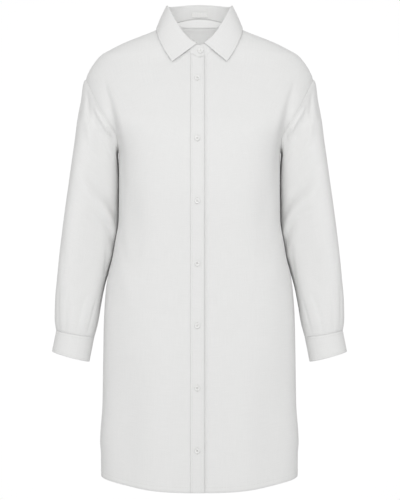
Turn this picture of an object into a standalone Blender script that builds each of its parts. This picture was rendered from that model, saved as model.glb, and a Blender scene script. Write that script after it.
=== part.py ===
"""A long-sleeved shirt dress, filled out as it hangs on its wearer.

Metres, +Z up. The front faces -Y and the wearer's left is +X. The origin is between the
shoulders, at the height where they carry the dress. Every wall is worked out from the
tables and sizes below: the body from level sections, a sleeve from rings along the arm,
the collar from its fold line and its edge.
"""

import math

import bpy
import numpy as np

# Cloth
WALL = 0.0012
SEAM_GAP = 0.0004
LAY_GAP = 0.0004
FRONT, BACK = -1, 1
SHARP_ANGLE = math.radians(50)

# Body
MIDDLE_Y = -0.010
SECTION_POWER = 2.25
LOW_POWER = 3.10
LOW_POWER_FROM_Z = -0.090
LOW_POWER_TO_Z = -0.200
FLARE_POWER = 3.20
FLARE_FROM_Z = -0.700
FLARE_TO_Z = -0.770
HEM_FRONT_Z = -0.8996
HEM_SIDE_Z = -0.8758
HEM_POWER = 2.3
VENT_TOP_Z = -0.730
VENT_PULL = 0.0025
VENT_RUN = 0.020
TOP_REACH_Z = -0.360
HEM_REACH_Z = -0.700
UNDERARM_Z = -0.238
SHOULDER_TIP_Z = -0.094
ARMHOLE_DEPTH = 0.50

# Level sections of the body, from the hem up to the back neck
SECTION_COLUMNS = ("height", "half_width", "front_depth", "back_depth")
SECTIONS = (
    (-0.910, 0.1940, 0.1160, 0.1120),
    (-0.834, 0.1940, 0.1150, 0.1110),
    (-0.812, 0.1955, 0.1145, 0.1105),
    (-0.734, 0.1905, 0.1125, 0.1090),
    (-0.634, 0.1892, 0.1100, 0.1070),
    (-0.574, 0.1884, 0.1085, 0.1050),
    (-0.514, 0.1852, 0.1080, 0.1040),
    (-0.480, 0.1808, 0.1085, 0.1025),
    (-0.454, 0.1740, 0.1090, 0.1015),
    (-0.414, 0.1668, 0.1110, 0.1000),
    (-0.374, 0.1605, 0.1150, 0.1020),
    (-0.300, 0.1595, 0.1205, 0.1080),
    (-0.255, 0.1602, 0.1205, 0.1110),
    (-0.238, 0.1615, 0.1195, 0.1120),
    (-0.217, 0.1690, 0.1170, 0.1120),
    (-0.205, 0.1770, 0.1150, 0.1120),
    (-0.178, 0.2005, 0.1070, 0.1110),
    (-0.148, 0.2200, 0.0950, 0.1080),
    (-0.118, 0.2260, 0.0835, 0.1020),
    (-0.094, 0.2255, 0.0725, 0.0960),
    (-0.078, 0.2195, 0.0650, 0.0915),
    (-0.062, 0.2095, 0.0575, 0.0870),
    (-0.046, 0.1955, 0.0520, 0.0820),
    (-0.038, 0.1820, 0.0490, 0.0790),
    (-0.022, 0.1505, 0.0420, 0.0720),
    (-0.012, 0.1262, 0.0360, 0.0670),
    (0.000, 0.0955, 0.0290, 0.0620),
    (0.005, 0.0845, 0.0235, 0.0600),
    (0.009, 0.0755, 0.0160, 0.0580),
    (0.014, 0.0660, 0.0000, 0.0560),
    (0.040, 0.0660, 0.0000, 0.0560),
)

# The crease in front of and behind each armhole, where the cloth dips between chest and arm
DIP_WIDTH_IN = 0.0065
DIP_WIDTH_OUT = 0.011
DIP_COLUMNS = ("height", "across", "share_of_depth")
DIPS = (
    (-0.340, 0.150, 0.00),
    (-0.280, 0.153, 0.10),
    (-0.238, 0.158, 0.30),
    (-0.210, 0.163, 0.42),
    (-0.174, 0.169, 0.30),
    (-0.134, 0.179, 0.14),
    (-0.098, 0.191, 0.00),
)

# Neck, stand and collar
NECK_HALF_WIDTH = 0.066
NECK_STEP = math.radians(15)
TURN_SLACK = 1e-6
NECK_FRONT_Z = -0.058
NECK_SIDE_Z = 0.014
NECK_BACK_Z = 0.034
NECK_POWER = 1.6
FOLD_FRONT_Z = -0.028
FOLD_SIDE_Z = 0.0530
FOLD_BACK_Z = 0.063
FOLD_POWER = 1.9
STAND_TOP_HALF_WIDTH = 0.0635
STAND_TOP_FRONT_DEPTH = 0.0490
STAND_TOP_BACK_DEPTH = 0.0515
STAND_END_ROUND = 0.012
STAND_END_DROP = 0.6
LAP_STEP = 0.0020
ROLL_RADIUS = 0.0010
ROLL_LIFT = 0.0004
ROLL_TURN = math.radians(168)
FALL_BULGE = 0.0012
FALL_END_RIGHT_X = -0.0060
FALL_END_LEFT_X = 0.0105

# The collar fall's free edge, from the centre back to the point
EDGE_COLUMNS = ("share", "across", "back_to_front", "height")
FALL_EDGE = (
    (0.00, 0.0000, 0.0570, 0.0190),
    (0.17, 0.0290, 0.0530, 0.0175),
    (0.33, 0.0590, 0.0380, 0.0140),
    (0.47, 0.0810, 0.0130, 0.0100),
    (0.55, 0.0850, -0.0080, 0.0082),
    (0.62, 0.0846, -0.0230, 0.0035),
    (0.70, 0.0825, -0.0390, -0.0080),
    (0.84, 0.0720, -0.0570, -0.0350),
    (1.00, 0.0535, -0.0720, -0.0655),
)

# Placket, facing, label and buttons
PLACKET_LEFT_X = 0.0090
PLACKET_RIGHT_X = -NECK_HALF_WIDTH * math.sin(NECK_STEP)
BUTTON_LINE_X = -0.0040
UNDERLAP_X = -0.0160
UNDERLAP_MIDDLE_X = -0.0030
UNDERLAP_STEP_X = 0.0110
UNDERLAP_FLAT_X = -PLACKET_RIGHT_X
STAND_UNDER_COLUMNS = (UNDERLAP_X, -0.0135, -0.0090, UNDERLAP_MIDDLE_X, 0.0040, UNDERLAP_STEP_X)
STAND_OVER_COLUMNS = (-0.0110, BUTTON_LINE_X, 0.0020, 0.0060, PLACKET_LEFT_X)
UNDER_SEAM = (UNDERLAP_X, UNDERLAP_MIDDLE_X, UNDERLAP_STEP_X, UNDERLAP_FLAT_X)
OVER_SEAM = (PLACKET_RIGHT_X, BUTTON_LINE_X, PLACKET_LEFT_X)
BUTTON_COUNT = 7
BUTTON_FIRST_Z = -0.1000
BUTTON_SPACING = 0.1198
BUTTON_RADIUS = 0.0054
BUTTON_SIDES = 12
COLLAR_BUTTON_COLUMN = 2
FACING_EDGE_Z = 0.0160
FACING_SHORT = 0.0006
FACING_LEAST = 0.0040
LABEL_HALF_WIDTH = 0.016
LABEL_BOTTOM_Z = 0.0375
LABEL_TOP_Z = 0.0480
LABEL_WALL = 0.0010
LABEL_COLUMNS = 6

# A button's turned outline: share of the radius, height
BUTTON_PROFILE = (
    (0.80, 0.0000),
    (1.00, 0.0008),
    (0.98, 0.0020),
    (0.82, 0.0026),
    (0.60, 0.0017),
)

# Rings of the right sleeve along the arm: outer and inner line, half depth and middle depth
RING_COLUMNS = ("share", "outer_x", "outer_y", "outer_z", "inner_x", "inner_y", "inner_z", "half_depth")
RINGS = (
    (0.000, 0.2260, -0.010, -0.0945, 0.1625, -0.010, -0.2385, 0.066),
    (0.030, 0.2300, -0.012, -0.1080, 0.1655, -0.007, -0.2470, 0.064),
    (0.080, 0.2350, -0.016, -0.1340, 0.1632, 0.003, -0.2630, 0.061),
    (0.160, 0.2418, -0.021, -0.1740, 0.1612, 0.018, -0.2860, 0.059),
    (0.240, 0.2465, -0.026, -0.2140, 0.1605, 0.026, -0.3080, 0.058),
    (0.330, 0.2520, -0.031, -0.2560, 0.1605, 0.030, -0.3360, 0.057),
    (0.430, 0.2580, -0.036, -0.3020, 0.1610, 0.032, -0.3680, 0.055),
    (0.530, 0.2642, -0.040, -0.3480, 0.1635, 0.030, -0.4020, 0.052),
    (0.630, 0.2702, -0.044, -0.3960, 0.1690, 0.020, -0.4360, 0.049),
    (0.730, 0.2756, -0.047, -0.4440, 0.1800, 0.008, -0.4720, 0.045),
    (0.820, 0.2800, -0.049, -0.4900, 0.1895, -0.010, -0.5080, 0.042),
    (0.900, 0.2838, -0.050, -0.5340, 0.1955, -0.026, -0.5440, 0.040),
    (0.960, 0.2845, -0.051, -0.5700, 0.2000, -0.036, -0.5760, 0.038),
    (0.985, 0.2830, -0.051, -0.5840, 0.2040, -0.039, -0.5930, 0.0355),
    (1.000, 0.2815, -0.051, -0.5915, 0.2075, -0.041, -0.6055, 0.033),
)
SLEEVE_RINGS = 21
SLEEVE_SIDES = 22
SLEEVE_OUTER_POWER = 2.40
SLEEVE_INNER_POWER = 4.60
SLEEVE_ROUND_FROM = 0.75
RING_BIAS = 1.15
HEAD_STEP = 0.0032
HEAD_OUT = 0.0007
HEAD_DOWN = 0.0005
HEAD_SHARE = 0.16
BODY_CLEAR = 0.0009
BESIDE_FROM_Z = -0.240
BESIDE_TO_Z = -0.275
LEDGE_START = 0.007
LEDGE_END = 0.10
CUFF_BOTTOM_OUTER = (0.2895, -0.054, -0.6325)
CUFF_BOTTOM_INNER = (0.2165, -0.048, -0.6530)
CUFF_HALF_DEPTH = 0.033
CUFF_LAP_TURN = math.radians(300)
CUFF_LAP = math.radians(38)
CUFF_LAP_STEP = 0.0019
CUFF_STEP_BEFORE = math.radians(26)
CUFF_STEP_RUN = math.radians(23)
CUFF_SIDES = 26
ARM_LENGTH = 0.545
ARM_RADIUS = 0.050

# Folds, each a soft trough (depth over 0) or ridge (under 0) along a straight line in the
# unrolled cloth. On the body "around" is measured from the centre front to the wearer's left
# on a circle of BODY_RADIUS, and "along" is the height. On a sleeve it is measured from the
# outer line to the front on a circle of ARM_RADIUS, and "along" is the way down the arm.
FOLD_COLUMNS = ("from_around", "from_along", "to_around", "to_along", "half_width", "depth")
FOLD_FADE = 0.7
BODY_RADIUS = 0.150
BODY_FOLDS = (
    (-0.150, -0.300, -0.112, -0.500, 0.026, 0.0026),
    (0.150, -0.290, 0.116, -0.480, 0.026, 0.0028),
    (-0.128, -0.640, -0.120, -0.960, 0.030, 0.0040),
    (0.125, -0.660, 0.118, -0.960, 0.030, 0.0036),
    (-0.060, -0.560, -0.066, -0.960, 0.030, -0.0045),
    (0.070, -0.600, 0.062, -0.960, 0.028, -0.0040),
    (-0.190, -0.480, -0.186, -0.960, 0.030, -0.0050),
    (0.188, -0.500, 0.184, -0.960, 0.028, -0.0050),
    (-0.290, -0.300, -0.300, -0.960, 0.034, 0.0070),
    (0.270, -0.260, 0.290, -0.960, 0.032, 0.0065),
    (-0.370, -0.220, -0.380, -0.960, 0.034, -0.0050),
    (0.360, -0.240, 0.375, -0.960, 0.032, -0.0055),
    (0.450, -0.180, 0.462, -0.960, 0.036, 0.0055),
)
SLEEVE_FOLDS = (
    (0.052, 0.020, 0.070, 0.110, 0.012, -0.0045),
    (0.020, 0.010, 0.024, 0.090, 0.012, 0.0040),
    (0.050, 0.165, 0.135, 0.250, 0.020, 0.0038),
    (0.062, 0.215, 0.140, 0.300, 0.015, -0.0030),
    (0.085, 0.270, 0.150, 0.350, 0.014, 0.0024),
    (-0.050, 0.170, -0.135, 0.240, 0.018, 0.0055),
    (-0.060, 0.240, -0.140, 0.310, 0.016, -0.0050),
    (-0.070, 0.310, -0.140, 0.370, 0.016, 0.0045),
    (-0.040, 0.030, -0.060, 0.130, 0.016, -0.0040),
    (0.157, 0.030, 0.157, 0.150, 0.030, -0.0016),
)

# Grid counts
BODY_ROWS_LOW = 12
BODY_ROWS_HIGH = 10
HIGH_ROW_BIAS = 1.6
NECK_COLUMNS_FRONT = 5
NECK_COLUMNS_BACK = 6
SHOULDER_COLUMNS = 8
FALL_COLUMNS = 12
FALL_ROLL_ROWS = 4
FALL_FLAT_ROWS = 4


def smooth_curve(at, value):
    """A curve through the points (at, value) that never overshoots them, as a function."""
    at, value = np.asarray(at, float), np.asarray(value, float)
    step = np.diff(at)
    slope = np.diff(value) / step
    tangent = np.zeros_like(value)
    tangent[0], tangent[-1] = slope[0], slope[-1]
    for i in range(1, len(at) - 1):
        if slope[i - 1] * slope[i] > 0:
            before, after = 2 * step[i] + step[i - 1], step[i] + 2 * step[i - 1]
            tangent[i] = (before + after) / (before / slope[i - 1] + after / slope[i])

    def curve(x):
        x = np.clip(x, at[0], at[-1])
        i = np.clip(np.searchsorted(at, x, side="right") - 1, 0, len(step) - 1)
        t = (x - at[i]) / step[i]
        start = (1 + 2 * t) * (1 - t) ** 2 * value[i] + t * (1 - t) ** 2 * step[i] * tangent[i]
        end = t * t * (3 - 2 * t) * value[i + 1] + t * t * (t - 1) * step[i] * tangent[i + 1]
        return start + end

    return curve


def table_curves(columns, rows):
    """One smooth curve for each column of a table after the first, by the column's name."""
    values = np.array(rows, float)
    return {name: smooth_curve(values[:, 0], values[:, i + 1]) for i, name in enumerate(columns[1:])}


SECTION = table_curves(SECTION_COLUMNS, SECTIONS)
DIP = table_curves(DIP_COLUMNS, DIPS)
EDGE = table_curves(EDGE_COLUMNS, FALL_EDGE)
RING = table_curves(RING_COLUMNS, RINGS)


def mix(a, b, share):
    return a + (b - a) * share


def smooth_step(x):
    x = np.clip(x, 0.0, 1.0)
    return x * x * (3 - 2 * x)


def roundness(share, power=SECTION_POWER):
    """How deep a section is at a share of its half width, from 1 in the middle to 0 at the side."""
    return (1 - np.clip(share, 0, 1) ** power) ** (1 / power)


def section_power(z):
    """How square a level section is: round at the shoulders, squarer below them, most by the vents."""
    low = smooth_step((LOW_POWER_FROM_Z - z) / (LOW_POWER_FROM_Z - LOW_POWER_TO_Z))
    flare = smooth_step((FLARE_FROM_Z - z) / (FLARE_FROM_Z - FLARE_TO_Z))
    return mix(mix(SECTION_POWER, LOW_POWER, low), FLARE_POWER, flare)


def fold_depth(folds, radius, turn, along):
    """Sum of the folds at a turn in radians and a place along, positive into the garment."""
    full = 2 * math.pi * radius
    total = np.zeros(np.broadcast(turn, along).shape)
    for row in folds:
        fold = dict(zip(FOLD_COLUMNS, row))
        run_around = fold["to_around"] - fold["from_around"]
        run_along = fold["to_along"] - fold["from_along"]
        run = math.hypot(run_around, run_along)
        around = (turn * radius - fold["from_around"] + full / 2) % full - full / 2
        down = along - fold["from_along"]
        share = np.clip((around * run_around + down * run_along) / run**2, 0, 1)
        off = (around * run_along - down * run_around) / run
        fade = (4 * share * (1 - share)) ** FOLD_FADE
        total += fold["depth"] * np.exp(-((off / fold["half_width"]) ** 2)) * fade
    return total


def body_point(x, z, side):
    """The body's outer surface at a place seen from the front; side is FRONT or BACK."""
    x, z = np.broadcast_arrays(np.asarray(x, float), np.asarray(z, float))
    half = SECTION["half_width"](z)
    depth = SECTION["front_depth" if side == FRONT else "back_depth"](z)
    share = np.clip(np.abs(x) / half, 0, 1)
    off = np.abs(x) - DIP["across"](z)
    off /= np.where(off < 0, DIP_WIDTH_IN, DIP_WIDTH_OUT)
    dip = DIP["share_of_depth"](z) * np.exp(-(off**2))
    y = side * depth * roundness(share, section_power(z)) * (1 - dip)
    turn = np.arcsin(share)
    turn = np.where(side == FRONT, turn, math.pi - turn) * np.where(x < 0, -1, 1)
    pull = fold_depth(BODY_FOLDS, BODY_RADIUS, turn, z)
    out_x, out_y = share * np.sign(x), side * np.sqrt(1 - share**2)
    return np.stack([x - pull * out_x, MIDDLE_Y + y - pull * out_y, z], axis=-1)


def hem_height(x):
    return mix(HEM_FRONT_Z, HEM_SIDE_Z, (np.abs(x) / SECTION["half_width"](HEM_SIDE_Z)) ** HEM_POWER)


def neck_height(share, side):
    """Height of the neckline at a share of its half width."""
    if side == FRONT:
        return mix(NECK_FRONT_Z, NECK_SIDE_Z, np.abs(share) ** NECK_POWER)
    return mix(NECK_BACK_Z, NECK_SIDE_Z, share**2)


def shoulder_seam(count):
    """Points (x, z) evenly along the shoulder seam, from the neck to the tip."""
    z = np.linspace(NECK_SIDE_Z, SHOULDER_TIP_Z, 200)
    x = SECTION["half_width"](z)
    length = np.concatenate([[0], np.cumsum(np.hypot(np.diff(x), np.diff(z)))])
    at = np.linspace(0, length[-1], count + 1)[1:]
    return np.stack([np.interp(at, length, x), np.interp(at, length, z)], axis=-1)


def armhole(share):
    """Points (x, z) of an armhole's front or back half, from the underarm at 0 to the tip at 1."""
    turn = math.pi * share
    z = mix(UNDERARM_Z, SHOULDER_TIP_Z, (1 - np.cos(turn)) / 2)
    deep = ARMHOLE_DEPTH * np.sin(turn)
    x = SECTION["half_width"](z) * (1 - deep**SECTION_POWER) ** (1 / SECTION_POWER)
    return np.stack([x, z], axis=-1)


def half_panel(side, middle_x, neck_columns, scale):
    """Half of a body panel, from x = middle_x to the side, as places (x, z) in rows from hem to shoulder."""
    start_turn = math.asin(middle_x / NECK_HALF_WIDTH)
    turns = np.linspace(start_turn, math.pi / 2, neck_columns + 1)
    neck_x = NECK_HALF_WIDTH * np.sin(turns)
    neck = np.stack([neck_x, neck_height(neck_x / NECK_HALF_WIDTH, side)], axis=-1)
    top = np.concatenate([neck, shoulder_seam(SHOULDER_COLUMNS * scale)])
    count = len(top)
    half = SECTION["half_width"](HEM_SIDE_Z)
    angles = np.linspace(math.asin(middle_x / half), math.pi / 2, count)
    across = (np.sin(angles) - np.sin(angles[0])) / (1 - np.sin(angles[0]))
    bottom_x = mix(middle_x, half, across)
    bottom = np.stack([bottom_x, hem_height(bottom_x)], axis=-1)
    low = np.linspace(0, 1, BODY_ROWS_LOW * scale + 1)[:-1]
    high = 1 - (1 - np.linspace(0, 1, BODY_ROWS_HIGH * scale + 1)) ** HIGH_ROW_BIAS
    side_z = mix(HEM_SIDE_Z, UNDERARM_Z, low)
    right = np.concatenate([np.stack([SECTION["half_width"](side_z), side_z], axis=-1), armhole(high)])
    middle_z = np.concatenate([mix(bottom[0, 1], UNDERARM_Z, low), mix(UNDERARM_Z, top[0, 1], high)])
    left = np.stack([np.full(len(middle_z), middle_x), middle_z], axis=-1)
    places = mix(left[:, None], right[:, None], across[None, :, None])
    straight_top = mix(top[0], top[-1], across[:, None])
    straight_bottom = mix(bottom[0], bottom[-1], across[:, None])
    near_top = smooth_step((middle_z - TOP_REACH_Z) / (top[0, 1] - TOP_REACH_Z))
    near_bottom = smooth_step((HEM_REACH_Z - middle_z) / (HEM_REACH_Z - bottom[0, 1]))
    places += near_top[:, None, None] * (top - straight_top)[None]
    places += near_bottom[:, None, None] * (bottom - straight_bottom)[None]
    return places


def strip(places, xs, side):
    """Columns at fixed x beside a panel's first column, whose rows they carry on level."""
    first = places[:, 0]
    share = (first[:, 1] - first[0, 1]) / (first[-1, 1] - first[0, 1])
    columns = []
    for x in xs:
        z = mix(hem_height(x), neck_height(x / NECK_HALF_WIDTH, side), share)
        columns.append(np.stack([np.full(len(z), x), z], axis=-1))
    return np.concatenate([np.stack(columns, axis=1), places], axis=1)


def grid_normals(points, closed_around=False):
    """Unit normals of a grid of points in rows and columns."""
    along = np.gradient(points, axis=0)
    if closed_around:
        across = np.roll(points, -1, axis=1) - np.roll(points, 1, axis=1)
    else:
        across = np.gradient(points, axis=1)
    normals = np.cross(across, along)
    return normals / np.linalg.norm(normals, axis=2, keepdims=True)


def unit(vectors):
    return vectors / np.linalg.norm(vectors, axis=-1, keepdims=True)


def level_seam_normals(normals, rows, column):
    """Turns the normals along a seam into the plane of the seams, so that two walls meet square."""
    normals[rows, column, 1] = 0
    normals[rows, column] = unit(normals[rows, column])


def material(name, colour, roughness):
    made = bpy.data.materials.new(name)
    made.use_nodes = True
    shader = made.node_tree.nodes["Principled BSDF"]
    shader.inputs["Base Color"].default_value = (*colour, 1.0)
    shader.inputs["Roughness"].default_value = roughness
    shader.inputs["Metallic"].default_value = 0.0
    return made


def add_mesh(name, vertices, faces, look):
    """An object from vertices and faces, turned the right way out."""
    fans = [(face[0], face[k], face[k + 1]) for face in faces for k in range(1, len(face) - 1)]
    if np.linalg.det(vertices[np.array(fans)]).sum() < 0:
        faces = [tuple(reversed(face)) for face in faces]
    mesh = bpy.data.meshes.new(name)
    mesh.from_pydata([tuple(v) for v in vertices], [], faces)
    mesh.materials.append(look)
    mesh.shade_smooth()
    mesh.set_sharp_from_angle(angle=SHARP_ANGLE)
    made = bpy.data.objects.new(name, mesh)
    bpy.context.collection.objects.link(made)


def add_cloth(name, outer, inner, look, closed_around=False):
    """A wall between two grids of points, with its edges closed."""
    rows, columns = outer.shape[:2]
    count = rows * columns
    index = np.arange(count).reshape(rows, columns)
    if closed_around:
        index = np.concatenate([index, index[:, :1]], axis=1)
    faces = []
    for i in range(rows - 1):
        for j in range(index.shape[1] - 1):
            a, b = int(index[i, j]), int(index[i, j + 1])
            c, d = int(index[i + 1, j + 1]), int(index[i + 1, j])
            for face in ((a, b, c), (a, c, d)):
                faces.append(face)
                faces.append(tuple(k + count for k in reversed(face)))
    rims = [(index[0], False), (index[-1], True)]
    if not closed_around:
        rims += [(index[:, 0], True), (index[:, -1], False)]
    for rim, turned in rims:
        for a, b in zip(rim[:-1], rim[1:]):
            quad = (int(a), int(a) + count, int(b) + count, int(b))
            faces.append(tuple(reversed(quad)) if turned else quad)
    vertices = np.concatenate([outer.reshape(-1, 3), inner.reshape(-1, 3)])
    add_mesh(name, vertices, faces, look)


def add_button(name, centre, out, look):
    """A round button with a dished face, its back at centre and its face towards out."""
    out = unit(np.asarray(out, float))
    side = unit(np.cross([0.0, 0.0, 1.0], out))
    up = np.cross(out, side)
    vertices, faces = [], []
    for share, height in BUTTON_PROFILE:
        for k in range(BUTTON_SIDES):
            turn = 2 * math.pi * k / BUTTON_SIDES
            spoke = math.cos(turn) * side + math.sin(turn) * up
            vertices.append(centre + spoke * share * BUTTON_RADIUS + out * height)
    for i in range(len(BUTTON_PROFILE) - 1):
        for k in range(BUTTON_SIDES):
            after = (k + 1) % BUTTON_SIDES
            a, b = i * BUTTON_SIDES, (i + 1) * BUTTON_SIDES
            faces.append((a + k, a + after, b + after, b + k))
    last = (len(BUTTON_PROFILE) - 1) * BUTTON_SIDES
    faces.append(tuple(reversed(range(BUTTON_SIDES))))
    faces.append(tuple(last + k for k in range(BUTTON_SIDES)))
    add_mesh(name, np.array(vertices), faces, look)


def underlap_step(x):
    """How far the left front and the left end of the stand lie under the right ones."""
    return LAP_STEP * smooth_step((UNDERLAP_FLAT_X - x) / (UNDERLAP_FLAT_X - UNDERLAP_STEP_X))


def front_grid(mirrored, xs, middle_x, scale=1):
    """Outer points and normals of one front, from its lapped edge to its side."""
    places = strip(half_panel(FRONT, middle_x, NECK_COLUMNS_FRONT * scale, scale), xs, FRONT)
    outer = body_point((-1 if mirrored else 1) * places[..., 0], places[..., 1], FRONT)
    normals = grid_normals(outer)
    if normals[len(normals) // 2, 3, 1] > 0:
        normals = -normals
    first_shoulder = len(xs) + NECK_COLUMNS_FRONT * scale
    finish_seams(outer, normals, FRONT, BODY_ROWS_LOW * scale, first_shoulder)
    return outer, normals


def finish_seams(outer, normals, side, underarm_row, first_shoulder):
    """Squares the side and shoulder seams and draws the panel back from them."""
    side_rows = slice(0, underarm_row + 1)
    level_seam_normals(normals, side_rows, -1)
    normals[-1, first_shoulder:, 1] = 0
    normals[-1, first_shoulder:] = unit(normals[-1, first_shoulder:])
    outer[side_rows, -1, 1] = MIDDLE_Y + side * SEAM_GAP / 2
    outer[-1, first_shoulder:, 1] = MIDDLE_Y + side * SEAM_GAP / 2


def front_right_grid(scale=1):
    return front_grid(True, (-PLACKET_LEFT_X, -BUTTON_LINE_X), -PLACKET_RIGHT_X, scale)


def front_left_grid(scale=1):
    outer, normals = front_grid(False, UNDER_SEAM[:-1], UNDERLAP_FLAT_X, scale)
    outer[..., 1] += underlap_step(outer[..., 0])
    return outer, normals


def back_grid(scale=1):
    places = half_panel(BACK, 0.0, NECK_COLUMNS_BACK * scale, scale)
    left = body_point(places[..., 0], places[..., 1], BACK)
    right = body_point(-places[..., 0], places[..., 1], BACK)
    outer = np.concatenate([right[:, :0:-1], left], axis=1)
    vent = smooth_step((VENT_TOP_Z - outer[..., 2]) / VENT_RUN) * VENT_PULL
    last = outer.shape[1] - 1
    normals = grid_normals(outer)
    if normals[len(normals) // 2, last // 2, 1] < 0:
        normals = -normals
    neck = NECK_COLUMNS_BACK * scale
    middle = last // 2
    underarm = BODY_ROWS_LOW * scale
    finish_seams(outer, normals, BACK, underarm, middle + neck)
    finish_seams(outer[:, ::-1], normals[:, ::-1], BACK, underarm, middle + neck)
    for column, sign in ((0, 1), (last, -1)):
        outer[:underarm, column, 0] += sign * vent[:underarm, column]
        outer[:underarm, column, 1] += vent[:underarm, column]
    return outer, normals


def neckline(turn):
    """A point of the neckline at a turn from the centre back (0) to the wearer's left (positive)."""
    side = BACK if abs(turn) < math.pi / 2 else FRONT
    x = NECK_HALF_WIDTH * math.sin(turn)
    z = neck_height(np.asarray(abs(math.sin(turn))), side)
    return body_point(x, z, side)


def stand_top(turn):
    """A point of the outer side of the stand's top edge."""
    share = abs(math.sin(turn))
    x = STAND_TOP_HALF_WIDTH * math.sin(turn)
    if abs(turn) < math.pi / 2:
        y = MIDDLE_Y + STAND_TOP_BACK_DEPTH * float(roundness(share))
        z = mix(FOLD_BACK_Z, FOLD_SIDE_Z, share**2)
    else:
        y = MIDDLE_Y - STAND_TOP_FRONT_DEPTH * float(roundness(share))
        z = mix(FOLD_FRONT_Z, FOLD_SIDE_Z, share**FOLD_POWER)
    return np.array([x, y, z - 2 * ROLL_RADIUS - WALL])


def turn_at(x):
    """The turn at which the neckline in front reaches x."""
    turn = math.pi - math.asin(abs(x) / NECK_HALF_WIDTH)
    return turn if x >= 0 else -turn


def lapped_neckline(x, columns):
    """A point of the neckline on the straight run between two of a front's own columns."""
    points = np.array([neckline(turn_at(c)) for c in columns])
    return np.array([x, np.interp(x, columns, points[:, 1]), np.interp(x, columns, points[:, 2])])


def stand_grid(rows, finer=1):
    """Outer points and normals of the stand: from its lower end, under the right one, round the back."""
    full = 2 * math.pi
    turns = [turn_at(x) + (full if x < 0 else 0) for x in STAND_UNDER_COLUMNS]
    turns += [k * NECK_STEP for k in range(11, -12, -1)]
    turns += [turn_at(x) - (full if x > 0 else 0) for x in STAND_OVER_COLUMNS]
    turns = np.interp(np.linspace(0, len(turns) - 1, (len(turns) - 1) * finer + 1), range(len(turns)), turns)
    under, over = turns[0], turns[-1]
    outer = np.zeros((rows + 1, len(turns), 3))
    for j, turn in enumerate(turns):
        lower_end = turn > turn_at(UNDERLAP_FLAT_X) - TURN_SLACK
        inside = (turn + math.pi) % full - math.pi
        bottom, top = neckline(inside), stand_top(inside)
        if abs(inside) >= turn_at(UNDERLAP_FLAT_X) - TURN_SLACK:
            bottom = lapped_neckline(bottom[0], UNDER_SEAM if lower_end else OVER_SEAM)
        end = min(abs(turn - under), abs(turn - over)) * NECK_HALF_WIDTH
        if end < STAND_END_ROUND:
            short = 1 - math.sqrt(1 - (1 - end / STAND_END_ROUND) ** 2)
            top = mix(top, bottom, STAND_END_DROP * short)
        for i in range(rows + 1):
            outer[i, j] = mix(bottom, top, i / rows)
        outer[:, j, 2] += SEAM_GAP * (1 - np.arange(rows + 1) / rows)
        if lower_end:
            outer[:, j, 1] += underlap_step(outer[0, j, 0])
    normals = grid_normals(outer)
    middle = len(turns) // 2
    if normals[0, middle, 1] < 0:
        normals = -normals
    return outer, normals


def fall_section(turn, share, roll_rows, flat_rows, sign):
    """Under side of the fall across one section, from the stand's top edge over the roll to the free edge."""
    base = stand_top(turn)
    ahead, behind = stand_top(turn + 0.02), stand_top(turn - 0.02)
    along = unit(ahead - behind)
    if sign > 0:
        base[1] += underlap_step(base[0]) if abs(turn) > math.pi / 2 else 0
    up = unit(np.array([0, 0, 1.0]) - along * along[2])
    out = np.cross(along, up)
    centre = np.array([0.0, MIDDLE_Y, base[2]])
    if np.dot(out, base - centre) < 0:
        out = -out
    start = base + up * SEAM_GAP
    points = [start]
    for k in range(1, roll_rows + 1):
        angle = ROLL_TURN * k / roll_rows
        rise = ROLL_RADIUS * math.sin(angle) + ROLL_LIFT
        points.append(start + up * rise + out * ROLL_RADIUS * (1 - math.cos(angle)))
    edge = np.array([sign * EDGE["across"](share), EDGE["back_to_front"](share), EDGE["height"](share)])
    last = points[-1]
    for k in range(1, flat_rows + 1):
        part = k / flat_rows
        points.append(mix(last, edge, part) + out * FALL_BULGE * math.sin(math.pi * part))
    return points


def fall_grid(columns, roll_rows, flat_rows):
    """Under side points and normals of the collar fall, from the right point round the back to the left."""
    halves = []
    for sign, end_x in ((-1, FALL_END_RIGHT_X), (1, FALL_END_LEFT_X)):
        end = abs(turn_at(abs(end_x)))
        half = []
        for k in range(columns + 1):
            turn = min(k * math.pi / columns, end)
            half.append(fall_section(sign * turn, k / columns, roll_rows, flat_rows, sign))
        halves.append(np.array(half))
    under = np.concatenate([halves[0][:0:-1], halves[1]], axis=0)
    under = np.swapaxes(under, 0, 1)
    normals = grid_normals(under)
    middle = columns
    if normals[-1, middle, 1] > 0:
        normals = -normals
    return under, normals


def ring_frame(share):
    """Middle, half-width vector, half depth of the sleeve at a share of the arm."""
    outer = np.array([RING["outer_x"](share), RING["outer_y"](share), RING["outer_z"](share)])
    inner = np.array([RING["inner_x"](share), RING["inner_y"](share), RING["inner_z"](share)])
    return (outer + inner) / 2, (outer - inner) / 2, float(RING["half_depth"](share))


def sleeve_ring(share, turns):
    """A ring of the sleeve without its folds, and its middle; squarer by the body, round at the cuff."""
    middle, half, depth = ring_frame(share)
    round_again = smooth_step((share - SLEEVE_ROUND_FROM) / (1 - SLEEVE_ROUND_FROM))
    squareness = np.where(np.cos(turns) < 0, SLEEVE_INNER_POWER, SLEEVE_OUTER_POWER)
    power = 2 / mix(squareness, 2.0, round_again)
    across = np.sign(np.cos(turns)) * np.abs(np.cos(turns)) ** power
    ring = middle + across[:, None] * half
    ring[:, 1] -= np.sign(np.sin(turns)) * np.abs(np.sin(turns)) ** power * depth
    return ring, middle


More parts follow.
